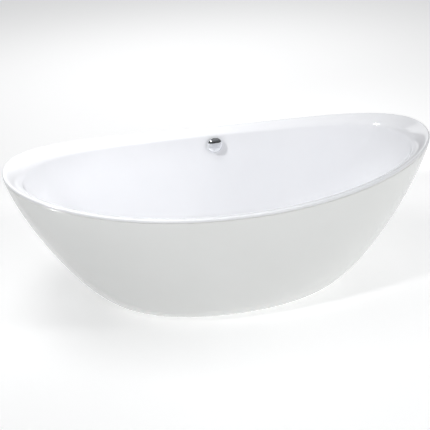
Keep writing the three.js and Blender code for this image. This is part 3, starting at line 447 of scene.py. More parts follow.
def edge_ring(share):
    """The rounded outer edge of the lip: share 0 is its foot, 1 its top."""
    a = math.pi / 2 * share
    inset, below = LIP_RADIUS * (1 - math.cos(a)), LIP_RADIUS * (1 - math.sin(a))
    return level(LENGTH / 2 - inset, WIDTH / 2 - inset, RIM - below)


def offset(rings, distance):
    """Rings moved along the surface normal, outwards from the tub's axis for a positive distance."""
    rings = np.asarray(rings)
    before = rings[np.maximum(np.arange(len(rings)) - 1, 0)]
    after = rings[np.minimum(np.arange(len(rings)) + 1, len(rings) - 1)]
    along = np.roll(rings, -1, 1) - np.roll(rings, 1, 1)
    normal = np.cross(along, after - before)
    normal /= np.linalg.norm(normal, axis=2, keepdims=True)
    return rings + normal * distance


def spread(count, start=0.0, end=1.0):
    return np.linspace(start, end, count + 1)


def drain_ramp_ring(t):
    """The soft slope from the recess around the waste up to the bathing floor."""
    radius = mix(DRAIN_SEAT, DRAIN_SEAT + DRAIN_RAMP, t)
    rise = t * t * (3 - 2 * t)
    return level(radius, radius, SEAT_Z + DRAIN_RECESS * rise, 2)


def basin_face():
    seat = [level(r, r, SEAT_Z, 2) for r in (DRAIN_HOLE + 0.6, DRAIN_SEAT - 4)]
    hole = [level(DRAIN_HOLE, DRAIN_HOLE, SEAT_Z - 0.6, 2)]
    ramp = [drain_ramp_ring(t) for t in spread(8)]
    floor = [floor_ring(s) for s in spread(24)[1:]]
    wall = [wall_ring(s) for s in spread(64)[1:]]
    lip = [lip_ring(s) for s in spread(20, 1, 0)[1:]]
    return hole + seat + ramp + floor + wall + lip


def basin_mesh():
    face = basin_face()
    edge = [edge_ring(t) for t in spread(6, 1, 0)[1:]]
    foot_z = RIM - LIP_EDGE
    foot = [
        level(LENGTH / 2, WIDTH / 2, foot_z + 0.8),
        level(LENGTH / 2 - 0.8, WIDTH / 2 - 0.8, foot_z),
        level(LENGTH / 2 - BASIN_WALL, WIDTH / 2 - BASIN_WALL, foot_z),
    ]
    back = list(offset(face, BASIN_WALL)[:-1][::-1])
    return ring_mesh("basin_shell", face + edge + foot + back, 40)


def skirt_mesh():
    outer = [skirt_ring(s) for s in spread(72)]
    inner = list(offset(outer, -SKIRT_WALL)[::-1])
    inner[0] = np.column_stack([inner[0][:, :2], outer[-1][:, 2]])
    top = outer[-1]
    outer[-1] = np.column_stack([top[:, :2], top[:, 2] - 0.8])
    eased = np.column_stack([top[:, :2] * (1 - 0.8 / (WIDTH / 2)), top[:, 2]])
    half_x, half_y = BASE_LENGTH / 2 - SKIRT_FLANGE, BASE_WIDTH / 2 - SKIRT_FLANGE
    flange = [level(half_x, half_y, z) for z in (SKIRT_GAP + SKIRT_WALL, SKIRT_GAP)]
    return ring_mesh("skirt_shell", outer + [eased] + inner + flange, 40)


def bead_mesh():
    top = RIM - LIP_EDGE - GAP
    shrink = (0.9, 0.25, 0, 0.25, 0.9)
    outer = [level(LENGTH / 2 - i, WIDTH / 2 - i, top - BEAD * t) for i, t in zip(shrink, spread(4, 1, 0))]
    inner = [level(LENGTH / 2 - SKIRT_WALL, WIDTH / 2 - SKIRT_WALL, z) for z in (top, top - BEAD)]
    return ring_mesh("rim_bead", outer + inner, 60)


# ---------------------------------------------------------------- materials

def shader(name, color, roughness, metallic=0.0, **sockets):
    mat = bpy.data.materials.new(name)
    mat.use_nodes = True
    tree = mat.node_tree
    bsdf = tree.nodes["Principled BSDF"]
    bsdf.inputs["Base Color"].default_value = (*color, 1)
    bsdf.inputs["Roughness"].default_value = roughness
    bsdf.inputs["Metallic"].default_value = metallic
    for key, value in sockets.items():
        bsdf.inputs[key.replace("_", " ")].default_value = value
    return mat, tree, bsdf


def node(tree, kind, inputs=None, **settings):
    made = tree.nodes.new(kind)
    for key, value in settings.items():
        setattr(made, key, value)
    for key, value in (inputs or {}).items():
        if isinstance(value, bpy.types.NodeSocket):
            tree.links.new(value, made.inputs[key])
        else:
            made.inputs[key].default_value = value
    return made


def coords(tree):
    return tree.nodes.new("ShaderNodeTexCoord").outputs["Object"]


def noise(tree, scale, detail=3.0, rough=0.5, vector=None):
    made = node(tree, "ShaderNodeTexNoise", {"Scale": scale, "Detail": detail, "Roughness": rough})
    tree.links.new(vector or coords(tree), made.inputs["Vector"])
    return made.outputs["Fac"]


def ramp(tree, value, low, high, out_low, out_high):
    made = node(tree, "ShaderNodeMapRange", {"Value": value, "From Min": low, "From Max": high})
    made.inputs["To Min"].default_value = out_low
    made.inputs["To Max"].default_value = out_high
    return made.outputs["Result"]


def tint(tree, value, first, second):
    made = node(tree, "ShaderNodeMix", {"Factor": value}, data_type="RGBA")
    made.inputs["A"].default_value = (*first, 1)
    made.inputs["B"].default_value = (*second, 1)
    return made.outputs["Result"]


def add_values(tree, a, b, weight):
    scaled = node(tree, "ShaderNodeMath", {0: b, 1: weight}, operation="MULTIPLY")
    return node(tree, "ShaderNodeMath", {0: a, 1: scaled.outputs[0]}, operation="ADD").outputs[0]


def bump(tree, bsdf, height, distance, strength=1.0):
    made = node(tree, "ShaderNodeBump", {"Height": height, "Distance": distance, "Strength": strength})
    tree.links.new(made.outputs["Normal"], bsdf.inputs["Normal"])


def acrylic(name, color, shade, roughness):
    """Gloss sanitary acrylic: faint cloudiness, fine orange peel and slow waves from forming."""
    mat, tree, bsdf = shader(name, color, roughness, Coat_Weight=0.35, Coat_Roughness=0.04, IOR=1.49)
    cloud = noise(tree, 3.5, 4)
    tree.links.new(tint(tree, ramp(tree, cloud, 0.3, 0.7, 0, 1), color, shade), bsdf.inputs["Base Color"])
    wipe = noise(tree, 14, 6, 0.65)
    tree.links.new(ramp(tree, wipe, 0.3, 0.75, roughness * 0.75, roughness * 1.5), bsdf.inputs["Roughness"])
    height = add_values(tree, noise(tree, 7, 1), noise(tree, 420, 2), 0.012)
    bump(tree, bsdf, height, 0.0012, 0.35)
    return mat


def metal(name, color, shade, roughness, grain=900, bump_depth=0.00002, blotch=30):
    mat, tree, bsdf = shader(name, color, roughness, metallic=1.0)
    cloud = noise(tree, blotch, 5, 0.6)
    tree.links.new(tint(tree, ramp(tree, cloud, 0.35, 0.7, 0, 1), color, shade), bsdf.inputs["Base Color"])
    tree.links.new(ramp(tree, cloud, 0.3, 0.7, roughness * 0.7, roughness * 1.4), bsdf.inputs["Roughness"])
    bump(tree, bsdf, noise(tree, grain, 3), bump_depth)
    return mat


def galvanised(name):
    """Hot-dip zinc: crystals of slightly different grey."""
    mat, tree, bsdf = shader(name, (0.55, 0.56, 0.57), 0.4, metallic=0.9)
    cells = node(tree, "ShaderNodeTexVoronoi", {"Scale": 140.0, "Vector": coords(tree)})
    grey = node(tree, "ShaderNodeRGBToBW", {"Color": cells.outputs["Color"]}).outputs[0]
    tree.links.new(tint(tree, grey, (0.42, 0.43, 0.44), (0.68, 0.69, 0.7)), bsdf.inputs["Base Color"])
    tree.links.new(ramp(tree, grey, 0, 1, 0.3, 0.52), bsdf.inputs["Roughness"])
    bump(tree, bsdf, noise(tree, 300, 4), 0.0001)
    return mat


def plastic(name, color, shade, roughness, grain=650, depth=0.00006):
    mat, tree, bsdf = shader(name, color, roughness)
    cloud = noise(tree, 22, 4)
    tree.links.new(tint(tree, ramp(tree, cloud, 0.3, 0.7, 0, 1), color, shade), bsdf.inputs["Base Color"])
    tree.links.new(ramp(tree, cloud, 0.3, 0.7, roughness * 0.85, roughness * 1.2), bsdf.inputs["Roughness"])
    bump(tree, bsdf, noise(tree, grain, 3), depth)
    return mat


def laminate(name):
    """The rough back of a shell: resin over chopped glass strands."""
    mat, tree, bsdf = shader(name, (0.74, 0.72, 0.6), 0.35)
    warp = node(tree, "ShaderNodeTexNoise", {"Scale": 9.0, "Vector": coords(tree)}).outputs["Color"]
    mapped = node(tree, "ShaderNodeMix", {"Factor": 0.12, "A": coords(tree), "B": warp}, data_type="VECTOR")
    strands = node(tree, "ShaderNodeTexVoronoi", {"Scale": 90.0}, feature="DISTANCE_TO_EDGE")
    tree.links.new(mapped.outputs["Result"], strands.inputs["Vector"])
    fibre = ramp(tree, strands.outputs["Distance"], 0, 0.12, 1, 0)
    tree.links.new(tint(tree, fibre, (0.7, 0.67, 0.54), (0.86, 0.85, 0.76)), bsdf.inputs["Base Color"])
    tree.links.new(ramp(tree, fibre, 0, 1, 0.28, 0.5), bsdf.inputs["Roughness"])
    bump(tree, bsdf, add_values(tree, fibre, noise(tree, 60, 5), 0.8), 0.0008)
    return mat


def particle_board(name):
    mat, tree, bsdf = shader(name, (0.5, 0.37, 0.22), 0.75)
    chips = node(tree, "ShaderNodeTexVoronoi", {"Scale": 260.0, "Vector": coords(tree)})
    grey = node(tree, "ShaderNodeRGBToBW", {"Color": chips.outputs["Color"]}).outputs[0]
    tree.links.new(tint(tree, grey, (0.34, 0.24, 0.13), (0.66, 0.52, 0.34)), bsdf.inputs["Base Color"])
    tree.links.new(ramp(tree, noise(tree, 40, 4), 0.3, 0.7, 0.5, 0.85), bsdf.inputs["Roughness"])
    bump(tree, bsdf, grey, 0.0004)
    return mat


MATERIALS = {
    "basin": acrylic("basin_acrylic", (0.86, 0.865, 0.885), (0.84, 0.845, 0.868), 0.11),
    # Painted shade: the skirt acrylic is a darker, greener copy of the basin acrylic, so the outside walls
    # read darker as shade would make them.
    "skirt": acrylic("skirt_acrylic", (0.835, 0.845, 0.832), (0.815, 0.825, 0.81), 0.16),
    "bead": plastic("bond_bead", (0.78, 0.78, 0.77), (0.72, 0.72, 0.7), 0.4, 500, 0.0001),
    "chrome": metal("polished_chrome", (0.86, 0.87, 0.885), (0.82, 0.835, 0.86), 0.055, 1200, 0.000004),
    "zinc": metal("zinc_plate", (0.66, 0.66, 0.65), (0.55, 0.56, 0.58), 0.3, 700, 0.00004),
    "galvanised": galvanised("galvanised_steel"),
    "rubber": plastic("rubber", (0.028, 0.028, 0.03), (0.045, 0.045, 0.045), 0.75, 900, 0.00012),
    "white": plastic("white_plastic", (0.78, 0.78, 0.75), (0.73, 0.73, 0.7), 0.42),
    "hose": plastic("hose_plastic", (0.72, 0.72, 0.7), (0.66, 0.66, 0.64), 0.5),
    "dark": plastic("dark_plastic", (0.035, 0.036, 0.04), (0.05, 0.05, 0.055), 0.5),
    "sheath": plastic("cable_sheath", (0.05, 0.05, 0.055), (0.07, 0.07, 0.075), 0.6),
    "board": particle_board("particle_board"),
    "laminate": laminate("glass_laminate"),
}


def dress(obj, look):
    obj.data.materials.clear()
    obj.data.materials.append(MATERIALS[look])


def piece(name, mesh, look, body, *replaced):
    """Adds a finished piece: its look, the body it rides on and the CAD nodes it stands for."""
    obj = new_object(name, mesh)
    dress(obj, look)
    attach(obj, body)
    if replaced:
        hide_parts(*replaced)
    return obj


def laminate_back(obj, is_back):
    """Gives the hidden side of a shell the look of its glass laminate."""
    obj.data.materials.append(MATERIALS["laminate"])
    for face in obj.data.polygons:
        if is_back(face):
            face.material_index = 1


# ---------------------------------------------------------------- shells

knob_joint = next(j for j in frame["joints"] if j["name"] == "knob_turn")
OVERFLOW_AT = Vector(knob_joint["pos_m"])
OVERFLOW_AXIS = Vector(knob_joint["axis"]).normalized()
OVERFLOW_TURN = Vector((0, 0, 1)).rotation_difference(OVERFLOW_AXIS).to_matrix().to_4x4()
TO_OVERFLOW = Matrix.Translation(OVERFLOW_AT) @ OVERFLOW_TURN

basin_cut = cut("basin_shell", basin_mesh(), [moved(rod(OVERFLOW_HOLE, -21, 21, 96), TO_OVERFLOW)], 40)
basin = piece("basin_shell", basin_cut, "basin", "tub", "basin")
skirt = piece("skirt_shell", skirt_mesh(), "skirt", "tub", "outer_skirt")
piece("rim_bead", bead_mesh(), "bead", "tub", "rim_bond_bead")


def faces_down_and_in(face):
    return face.normal.z < -0.02 or face.normal.dot(Vector((face.center.x, face.center.y, 0))) > 0


def basin_is_back(face):
    inside_edge = (
        face.center.x / (LENGTH / 2 * MM - 0.004)
    ) ** 2 + (face.center.y / (WIDTH / 2 * MM - 0.004)) ** 2
    return inside_edge < 0.99 and faces_down_and_in(face) and face.center.z < 0.66


def skirt_is_back(face):
    flat = Vector((face.center.x, face.center.y, 0))
    return face.normal.dot(flat) < 0 and abs(face.normal.z) < 0.98


laminate_back(basin, basin_is_back)
laminate_back(skirt, skirt_is_back)

# ---------------------------------------------------------------- board, frame and brackets

def wells(places, radius, low, high):
    return [moved(rod(radius, low, high, 32), shift(x, y)) for x, y in places]


SCREW_PLACES = [(x * FOOT_X, y * SCREW_Y) for x in (-1, 1) for y in (-1, 1)]


def board_mesh():
    ramp_end = DRAIN_SEAT + DRAIN_RAMP
    edge = 1 - BOARD_MARGIN / (FLOOR_WIDTH / 2 - ramp_end)
    top = [floor_ring(t) - (0, 0, BASIN_WALL + GLUE) for t in spread(4, 0, edge)]
    top[-1] = floor_ring(edge - 0.004) - (0, 0, BASIN_WALL + GLUE)
    side = floor_ring(edge)
    bottom = [
        np.column_stack([floor_ring(t)[:, :2], np.full(AROUND, BOARD_BOTTOM)]) for t in (edge - 0.004, 0)
    ]
    lip = [
        np.column_stack([side[:, :2], z])
        for z in (side[:, 2] - BASIN_WALL - GLUE - 0.6, np.full(AROUND, BOARD_BOTTOM + 0.6))
    ]
    blank = ring_mesh("board", top + lip + bottom, 40)
    holes = [rod(BOARD_HOLE / 2, BOARD_BOTTOM - 1, FLOOR, 96)]
    holes += wells(SCREW_PLACES, SCREW + GAP, BOARD_BOTTOM - 1, BOARD_BOTTOM + BOARD_THICKNESS - 2)
    return cut("base_panel", blank, holes, 40)


def square_tube(length, holes):
    """A drawn square tube along X with its corner radii."""
    outer, inner = soft_square(TUBE / 2, 2.5), soft_square(TUBE / 2 - TUBE_WALL, 1)
    blank = prism("tube", outer, -length / 2, length / 2)
    hollow = prism("hollow", inner, -length, length)
    shell = cut("tube", moved(blank, ALONG_X), [moved(hollow, ALONG_X)], 25)
    return cut("tube", shell, holes, 25)


def bracket_mesh():
    base_y = BASE_WIDTH / 2 * (
        1 - ((BRACKET_X + BRACKET_WIDTH / 2) / (BASE_LENGTH / 2)) ** POWER
    ) ** (1 / POWER)
    tab_end = base_y - SKIRT_WALL
    screw_y = tab_end - SKIRT_FLANGE / 3
    rail, leg = FOOT_Y + TUBE / 2 + GAP, screw_y - SCREW_HEAD - 2
    tab, arm = FLANGE_TOP + GAP, FRAME_MID + SHEET / 2
    points = [
        (rail, FRAME_TOP), (rail + SHEET, FRAME_TOP), (rail + SHEET, arm), (leg, arm), (leg, tab + SHEET)
    ]
    points += [
        (tab_end, tab + SHEET), (tab_end, tab), (leg - SHEET, tab), (leg - SHEET, arm - SHEET),
        (rail, arm - SHEET)
    ]
    strip = prism("strip", rounded(points, 1.2, 4), -BRACKET_WIDTH / 2, BRACKET_WIDTH / 2)
    strip = moved(strip, spin(90, "Z") @ spin(90, "X"))
    hole = moved(rod(SCREW + GAP, 0, 4 * SKIRT_WALL, 32), shift(0, screw_y))
    return cut("bracket", strip, [hole], 25), screw_y


def screw_mesh(shank):
    """A pan-head screw with a cross recess: the head rests at z = 0 and the thread runs up +Z."""
    head = [(0, -SCREW_HEAD_HEIGHT)]
    head += [
        (SCREW_HEAD * math.sin(a), -SCREW_HEAD_HEIGHT * (0.35 + 0.65 * math.cos(a)))
        for a in np.linspace(0.25, 1.57, 10)
    ]
    head += [(SCREW_HEAD, -0.3), (SCREW_HEAD - 0.3, 0), (0, 0)]
    top = lathe("head", head, 48)
    wings = [block((-2.6, -0.45, -4), (2.6, 0.45, -1.4)), block((-0.45, -2.6, -4), (0.45, 2.6, -1.4))]
    top = cut("head", top, wings)
    thread = threaded("thread", SCREW, -0.4, shank, 1.6, 0.45, 32, 2.0)
    return join("screw", top, [thread])


piece("base_panel", board_mesh(), "board", "tub", "base_board")
for name, side in (("rail_front", -1), ("rail_back", 1)):
    stud_holes = [moved(rod(STUD + 1, -TUBE, TUBE, 48), shift(x * FOOT_X)) for x in (-1, 1)]
    rail = moved(square_tube(RAIL_LENGTH, stud_holes), shift(0, side * FOOT_Y, FRAME_MID))
    piece(name + "_tube", rail, "galvanised", "tub", name)
for name, side in (("crossbar_left", -1), ("crossbar_right", 1)):
    screw_holes = [moved(rod(SCREW + GAP, -TUBE, TUBE, 32), shift(y * SCREW_Y)) for y in (-1, 1)]
    place = shift(side * FOOT_X, 0, FRAME_MID) @ spin(90, "Z")
    bar = moved(square_tube(2 * FOOT_Y - TUBE - 2 * GAP, screw_holes), place)
    piece(name + "_tube", bar, "galvanised", "tub", name)
for i, (x, y) in enumerate(SCREW_PLACES):
    made = moved(screw_mesh(TUBE + BOARD_THICKNESS - 5), shift(x, y, FRAME_BOTTOM - GAP))
    piece(f"board_screw_{i + 1}", made, "zinc", "tub", f"frame_screw_{i + 1}")
for i, (x, side) in enumerate((x, side) for x in (-1, 1) for side in (-1, 1)):
    strip, screw_y = bracket_mesh()
    place = shift(x * BRACKET_X) @ spin(0 if side > 0 else 180, "Z")
    piece(f"bracket_{i + 1}", moved(strip, place), "galvanised", "tub", f"skirt_bracket_{i + 1}")
    made = moved(
        screw_mesh(SHEET + SKIRT_WALL + GAP), shift(0, 0, FLANGE_TOP + 2 * GAP + SHEET) @ spin(180, "X")
    )
    made = moved(made, shift(x * BRACKET_X, side * screw_y))
    piece(f"tab_screw_{i + 1}", made, "zinc", "tub", f"bracket_screw_{i + 1}")

# ---------------------------------------------------------------- feet

def pad_mesh():
    profile = [
        (0, 0.8), (PAD - 6, 0.8), (PAD - 5, 0), (PAD, 0), (PAD, PAD_HEIGHT * 0.3),
        (PAD - 2, PAD_HEIGHT * 0.42)
    ]
    profile += [(PAD * 0.56, PAD_HEIGHT * 0.86), (PAD * 0.5, PAD_HEIGHT), (STUD + GAP, PAD_HEIGHT)]
    profile += [(STUD + GAP, PAD_HEIGHT * 0.4), (0, PAD_HEIGHT * 0.4)]
    return lathe("pad", rounded(profile, 0.7, 4), 96)


def stud_mesh():
    low = PAD_HEIGHT * 0.4 + GAP
    thread = threaded("thread", STUD, low, FRAME_BOTTOM + STUD_ABOVE, 1.75, 0.8)
    collar = hexagon(NUT_FLATS - 2, PAD_HEIGHT + GAP, PAD_HEIGHT + GAP + LOCK_NUT)
    return join("stud", collar, [thread], 20)


def nut_mesh(top, height):
    return cut("nut", hexagon(NUT_FLATS, top - height, top), [rod(STUD + RUNNING, top - 20, top + 1, 48)], 20)


WELD_NUT_TOP = FRAME_BOTTOM - GAP
LOCK_NUT_TOP = WELD_NUT_TOP - WELD_NUT - GAP
for i, (x, y) in enumerate((x * FOOT_X, y * FOOT_Y) for x in (-1, 1) for y in (-1, 1)):
    at, foot = shift(x, y), f"foot_{i + 1}"
    piece(f"pad_{i + 1}", moved(pad_mesh(), at), "rubber", foot, f"foot_pad_{i + 1}")
    piece(f"stud_{i + 1}", moved(stud_mesh(), at), "zinc", foot, f"foot_stud_{i + 1}")
    piece(
        f"frame_nut_{i + 1}", moved(nut_mesh(WELD_NUT_TOP, WELD_NUT), at), "zinc", "tub",
        f"weld_nut_{i + 1}"
    )
    piece(f"jam_nut_{i + 1}", moved(nut_mesh(LOCK_NUT_TOP, LOCK_NUT), at), "zinc", "tub", f"lock_nut_{i + 1}")

# ---------------------------------------------------------------- waste

def spokes(count, reach, half, low, high, start=0):
    arm = [block((0, -half, low), (reach, half, high)) for _ in range(count)]
    return [moved(mesh, spin(start + 360 / count * k, "Z")) for k, mesh in enumerate(arm)]


def hub_mesh(low, high, sides=48):
    radius = STEM + 4
    return lathe("hub", rounded([(0, low), (radius, low), (radius, high), (0, high)], 0.6), sides)


def ring_profile(inner, outer, low, high):
    return [(inner, low), (outer, low), (outer, high), (inner, high)]


def shoulder(radius, base, inset, rise):
    """A quarter round that climbs inwards from (radius, base)."""
    return [(radius - inset * math.sin(a), base + rise * (1 - math.cos(a))) for a in np.linspace(0, 1.57, 7)]


def thread_profile(radius, low, high, pitch, depth):
    """The outer side of a threaded sleeve, from high to low."""
    out, z = [], high
    while z - pitch > low:
        out += [(radius, z), (radius - depth, z - pitch / 2)]
        z -= pitch
    return out + [(radius, z)]


def flange_mesh():
    inner, low = TAIL - TAIL_WALL, FLANGE_UNDER - TAIL_LENGTH
    top, edge = FLANGE_UNDER + FLANGE_THICKNESS, DRAIN_SEAT - 2
    disc = rounded([(inner, low), (TAIL - 0.5, low)], 0)
    disc += thread_profile(TAIL, low + 0.6, FLANGE_UNDER - 3, 1.5, 0.5)[::-1]
    disc += [
        (TAIL, FLANGE_UNDER - 1), (TAIL + 0.6, FLANGE_UNDER), (edge - 0.3, FLANGE_UNDER),
        (edge, FLANGE_UNDER + 0.3)
    ]
    disc += shoulder(edge, FLANGE_UNDER + 1, 3, 1.6)
    disc += [(inner + 3, top), (inner + 1.4, top - 0.5), (inner + 0.3, top - 1.4)]
    shell = lathe("flange", disc, 128)
    cross_top = FLANGE_UNDER - TAIL_LENGTH / 3
    hub = hub_mesh(cross_top - 6, cross_top)
    arms = spokes(4, inner + TAIL_WALL / 2, 1.5, cross_top - 6, cross_top)
    full = join("flange", shell, arms + [hub])
    return cut("drain_ring", full, [rod(STEM + RUNNING, cross_top - 9, cross_top + 3, 48)])


def gasket_mesh(inner, outer, low, high):
    return lathe("gasket", rounded(ring_profile(inner, outer, low, high), 0.7, 4), 96)


def waste_mesh():
    inside, neck = CHAMBER - PLASTIC_WALL, TAIL + GAP + PLASTIC_WALL
    outer = [(0, TRAP_INLET + GAP), (SPIGOT, TRAP_INLET + GAP), (SPIGOT, CHAMBER_BOTTOM - PLASTIC_WALL)]
    outer += [
        (CHAMBER, CHAMBER_BOTTOM + 4), (CHAMBER, NECK_BOTTOM), (neck, NECK_BOTTOM + 2), (neck, NECK_TOP - 4)
    ]
    outer += [(DRAIN_SEAT, NECK_TOP - 4), (DRAIN_SEAT, NECK_TOP), (0, NECK_TOP)]
    bore = SPIGOT - PLASTIC_WALL
    hollow = [(0, TRAP_INLET), (bore, TRAP_INLET), (bore, CHAMBER_BOTTOM), (inside, CHAMBER_BOTTOM + 7)]
    hollow += [
        (inside, NECK_BOTTOM - PLASTIC_WALL), (TAIL + GAP, NECK_BOTTOM), (TAIL + GAP, NECK_TOP + 1),
        (0, NECK_TOP + 1)
    ]
    at_port, at_boss = shift(0, 0, PORT_Z) @ ALONG_Y, shift(0, 0, CABLE_BOSS_Z) @ ALONG_MINUS_X
    adds = [moved(rod(HOSE, 0, PORT_END), at_port), moved(rod(CABLE + 3.5, 0, -CABLE_BOSS_END, 48), at_boss)]
    adds += [
        moved(
            block((CHAMBER - 1, -0.9, NECK_BOTTOM - 16), (CHAMBER + 1.6, 0.9, NECK_BOTTOM - 1)),
            spin(15 + 30 * k, "Z")
        )
        for k in range(12)
    ]
    cuts = [lathe("hollow", hollow, 96), moved(rod(HOSE - HOSE_WALL, 0, PORT_END + 1), at_port)]
    cuts += [moved(rod(CABLE + 2 * GAP, 0, 1 - CABLE_BOSS_END, 48), at_boss)]
    cuts += [moved(rod(PIN + GAP, -CHAMBER, CHAMBER, 32), shift(PIVOT_X, 0, PIVOT_Z) @ spin(90, "X"))]
    full = join("waste", lathe("outer", rounded(outer, 1.0, 4), 128), adds, 30)
    return cut("waste_chamber", full, cuts, 30)


def plug_mesh():
    middle = PLUG_BOTTOM + PLUG_THICKNESS / 2
    dome = [(r, middle + z) for r, z in arc(PLUG, PLUG_THICKNESS / 2, 28, 2.3)][::-1]
    cap = [
        (0, PLUG_BOTTOM), (PLUG - 6, PLUG_BOTTOM), (PLUG - 5, PLUG_BOTTOM + 0.8),
        (PLUG - 1, PLUG_BOTTOM + 0.8)
    ]
    cap += [(PLUG, PLUG_BOTTOM + 1.6)] + dome
    return cut("plug_cap", lathe("cap", cap, 128), [rod(STEM - 1 + GAP, PLUG_BOTTOM - 1, middle, 48)])


def stem_mesh():
    seat = PLUG_BOTTOM - GAP
    lift = LEVER_THICKNESS / 2 / math.cos(LEVER_REST) + NOSE * math.tan(LEVER_REST)
    low = PIVOT_Z - LEVER_ARM * math.sin(LEVER_REST) + lift + GAP
    profile = [
        (0, low), (NOSE * 0.7, low + 0.15), (NOSE, low + 0.8), (NOSE, low + 3.5), (STEM - 0.6, low + 4.2)
    ]
    profile += [(STEM, low + 4.8), (STEM, seat - 0.4), (STEM - 0.4, seat), (STEM - 1, seat)]
    profile += thread_profile(STEM - 1, seat + 0.2, seat + PLUG_THICKNESS * 0.4, 0.8, 0.3)[::-1]
    return lathe("plug_post", profile + [(0, seat + PLUG_THICKNESS * 0.4)], 64)


def lever_mesh():
    half = LEVER_THICKNESS / 2
    adds = []
    for length, degrees in ((LEVER_ARM, 0), (LEVER_TAIL, -90)):
        line = [(0, -half), (length, -half)]
        line += [(length + half * math.cos(a), half * math.sin(a)) for a in np.linspace(-1.5, 1.5, 15)]
        line += [(length, half), (0, half)]
        adds.append(moved(prism("bar", line, -half, half), spin(degrees, "Z")))
    adds.append(rod(half + PIN, -half, half, 64))
    flat = join("lever", adds[0], adds[1:])
    flat = cut(
        "lever", flat, [rod(PIN + RUNNING, -9, 9, 48), moved(rod(0.9, -9, 9, 24), shift(0, -LEVER_TAIL))]
    )
    return moved(flat, shift(PIVOT_X, 0, PIVOT_Z) @ Matrix.Rotation(LEVER_REST, 4, "Y") @ spin(90, "X"))


def pin_mesh():
    half = math.sqrt(CHAMBER**2 - LEVER_ARM**2) - 1
    line = rounded([(0, -half), (PIN, -half), (PIN, half), (0, half)], 0.5)
    return moved(lathe("pin", line, 48), shift(PIVOT_X, 0, PIVOT_Z) @ spin(90, "X"))


piece("drain_ring", flange_mesh(), "chrome", "tub", "drain_flange")
upper_low = SEAT_Z + GAP
piece(
    "drain_seal_top", gasket_mesh(DRAIN_HOLE, DRAIN_SEAT - 3, upper_low, upper_low + GASKET), "rubber",
    "tub", "drain_gasket_upper"
)
piece(
    "drain_seal_under", gasket_mesh(DRAIN_HOLE, DRAIN_SEAT - 3, NECK_TOP + GAP, NECK_TOP + GAP + GASKET),
    "rubber", "tub", "drain_gasket_lower"
)
piece("waste_chamber", waste_mesh(), "white", "tub", "waste_body")
piece("plug_cap", plug_mesh(), "chrome", "plug", "drain_plug")
piece("plug_post", stem_mesh(), "zinc", "plug", "plug_stem")
piece(
    "plug_washer", gasket_mesh(STEM + GAP, TAIL + 3, PLUG_BOTTOM - GAP - 2, PLUG_BOTTOM - GAP), "rubber",
    "plug", "plug_seal"
)
piece("rocker", lever_mesh(), "dark", "lever", "lifter_lever")
piece("rocker_pin", pin_mesh(), "zinc", "tub", "lever_pin")

# ---------------------------------------------------------------- trap and outlet

def trap_mesh():
    inside, bore = TRAP - PLASTIC_WALL, SPIGOT - PLASTIC_WALL
    outer = [
        (0, TRAP_CLEARANCE), (TRAP - 5, TRAP_CLEARANCE), (TRAP, TRAP_CLEARANCE + 5), (TRAP, TRAP_TOP - 3)
    ]
    outer += [(TRAP - 3, TRAP_TOP), (SPIGOT, TRAP_TOP), (SPIGOT, TRAP_INLET), (0, TRAP_INLET)]
    low = TRAP_CLEARANCE + PLASTIC_WALL
    hollow = [(0, low), (inside - 3, low), (inside, low + 3), (inside, TRAP_TOP - PLASTIC_WALL - 2)]
    hollow += [(bore, TRAP_TOP - PLASTIC_WALL), (bore, TRAP_INLET + 1), (0, TRAP_INLET + 1)]
    at = shift(0, 0, OUTLET_Z) @ ALONG_X
    band = lathe("band", rounded(ring_profile(TRAP - 1, TRAP + 0.9, OUTLET_Z - 9, OUTLET_Z - 7), 0.5), 96)
    full = join(
        "trap", lathe("outer", rounded(outer, 1.4, 5), 128),
        [moved(rod(OUTLET, inside, OUTLET_START), at), band], 30
    )
    cuts = [lathe("hollow", hollow, 96), moved(rod(OUTLET - HOSE_WALL, inside - 10, OUTLET_START + 1), at)]
    return cut("trap_bowl", full, cuts, 30)


def grip_ring(outer, profile, count, depth, low, high):
    """A turned ring with grip flutes round its edge."""
    cuts = [
        moved(rod(depth, low, high, 16), spin(360 / count * k, "Z") @ shift(outer + depth * 0.45))
        for k in range(count)
    ]
    return cut("grip", lathe("ring", rounded(profile, 0.6), 96), cuts, 30)


def trap_nut_mesh():
    outer, low, high = SPIGOT + GAP + 5, TRAP_TOP + GAP + 1, TRAP_INLET + SPIGOT_LENGTH - 4
    return grip_ring(outer, ring_profile(SPIGOT + GAP, outer, low, high), 16, 1.5, low - 1, high + 1)


def outlet_mesh():
    start, bore = OUTLET_START - 18, OUTLET - HOSE_WALL
    end = OUTLET_START + OUTLET_LENGTH
    line = [(OUTLET + GAP, start), (OUTLET + PLASTIC_WALL, start), (OUTLET + PLASTIC_WALL, OUTLET_START + 3)]
    line += [
        (OUTLET, OUTLET_START + 5), (OUTLET, end), (bore, end), (bore, OUTLET_START + GAP),
        (OUTLET + GAP, OUTLET_START + GAP)
    ]
    return moved(lathe("outlet", rounded(line, 0.6), 96), shift(0, 0, OUTLET_Z) @ ALONG_X)


piece("trap_bowl", trap_mesh(), "white", "tub", "trap_body")
piece("trap_ring_nut", trap_nut_mesh(), "white", "tub", "trap_nut")
piece("drain_pipe", outlet_mesh(), "white", "tub", "outlet_pipe")

# ---------------------------------------------------------------- overflow

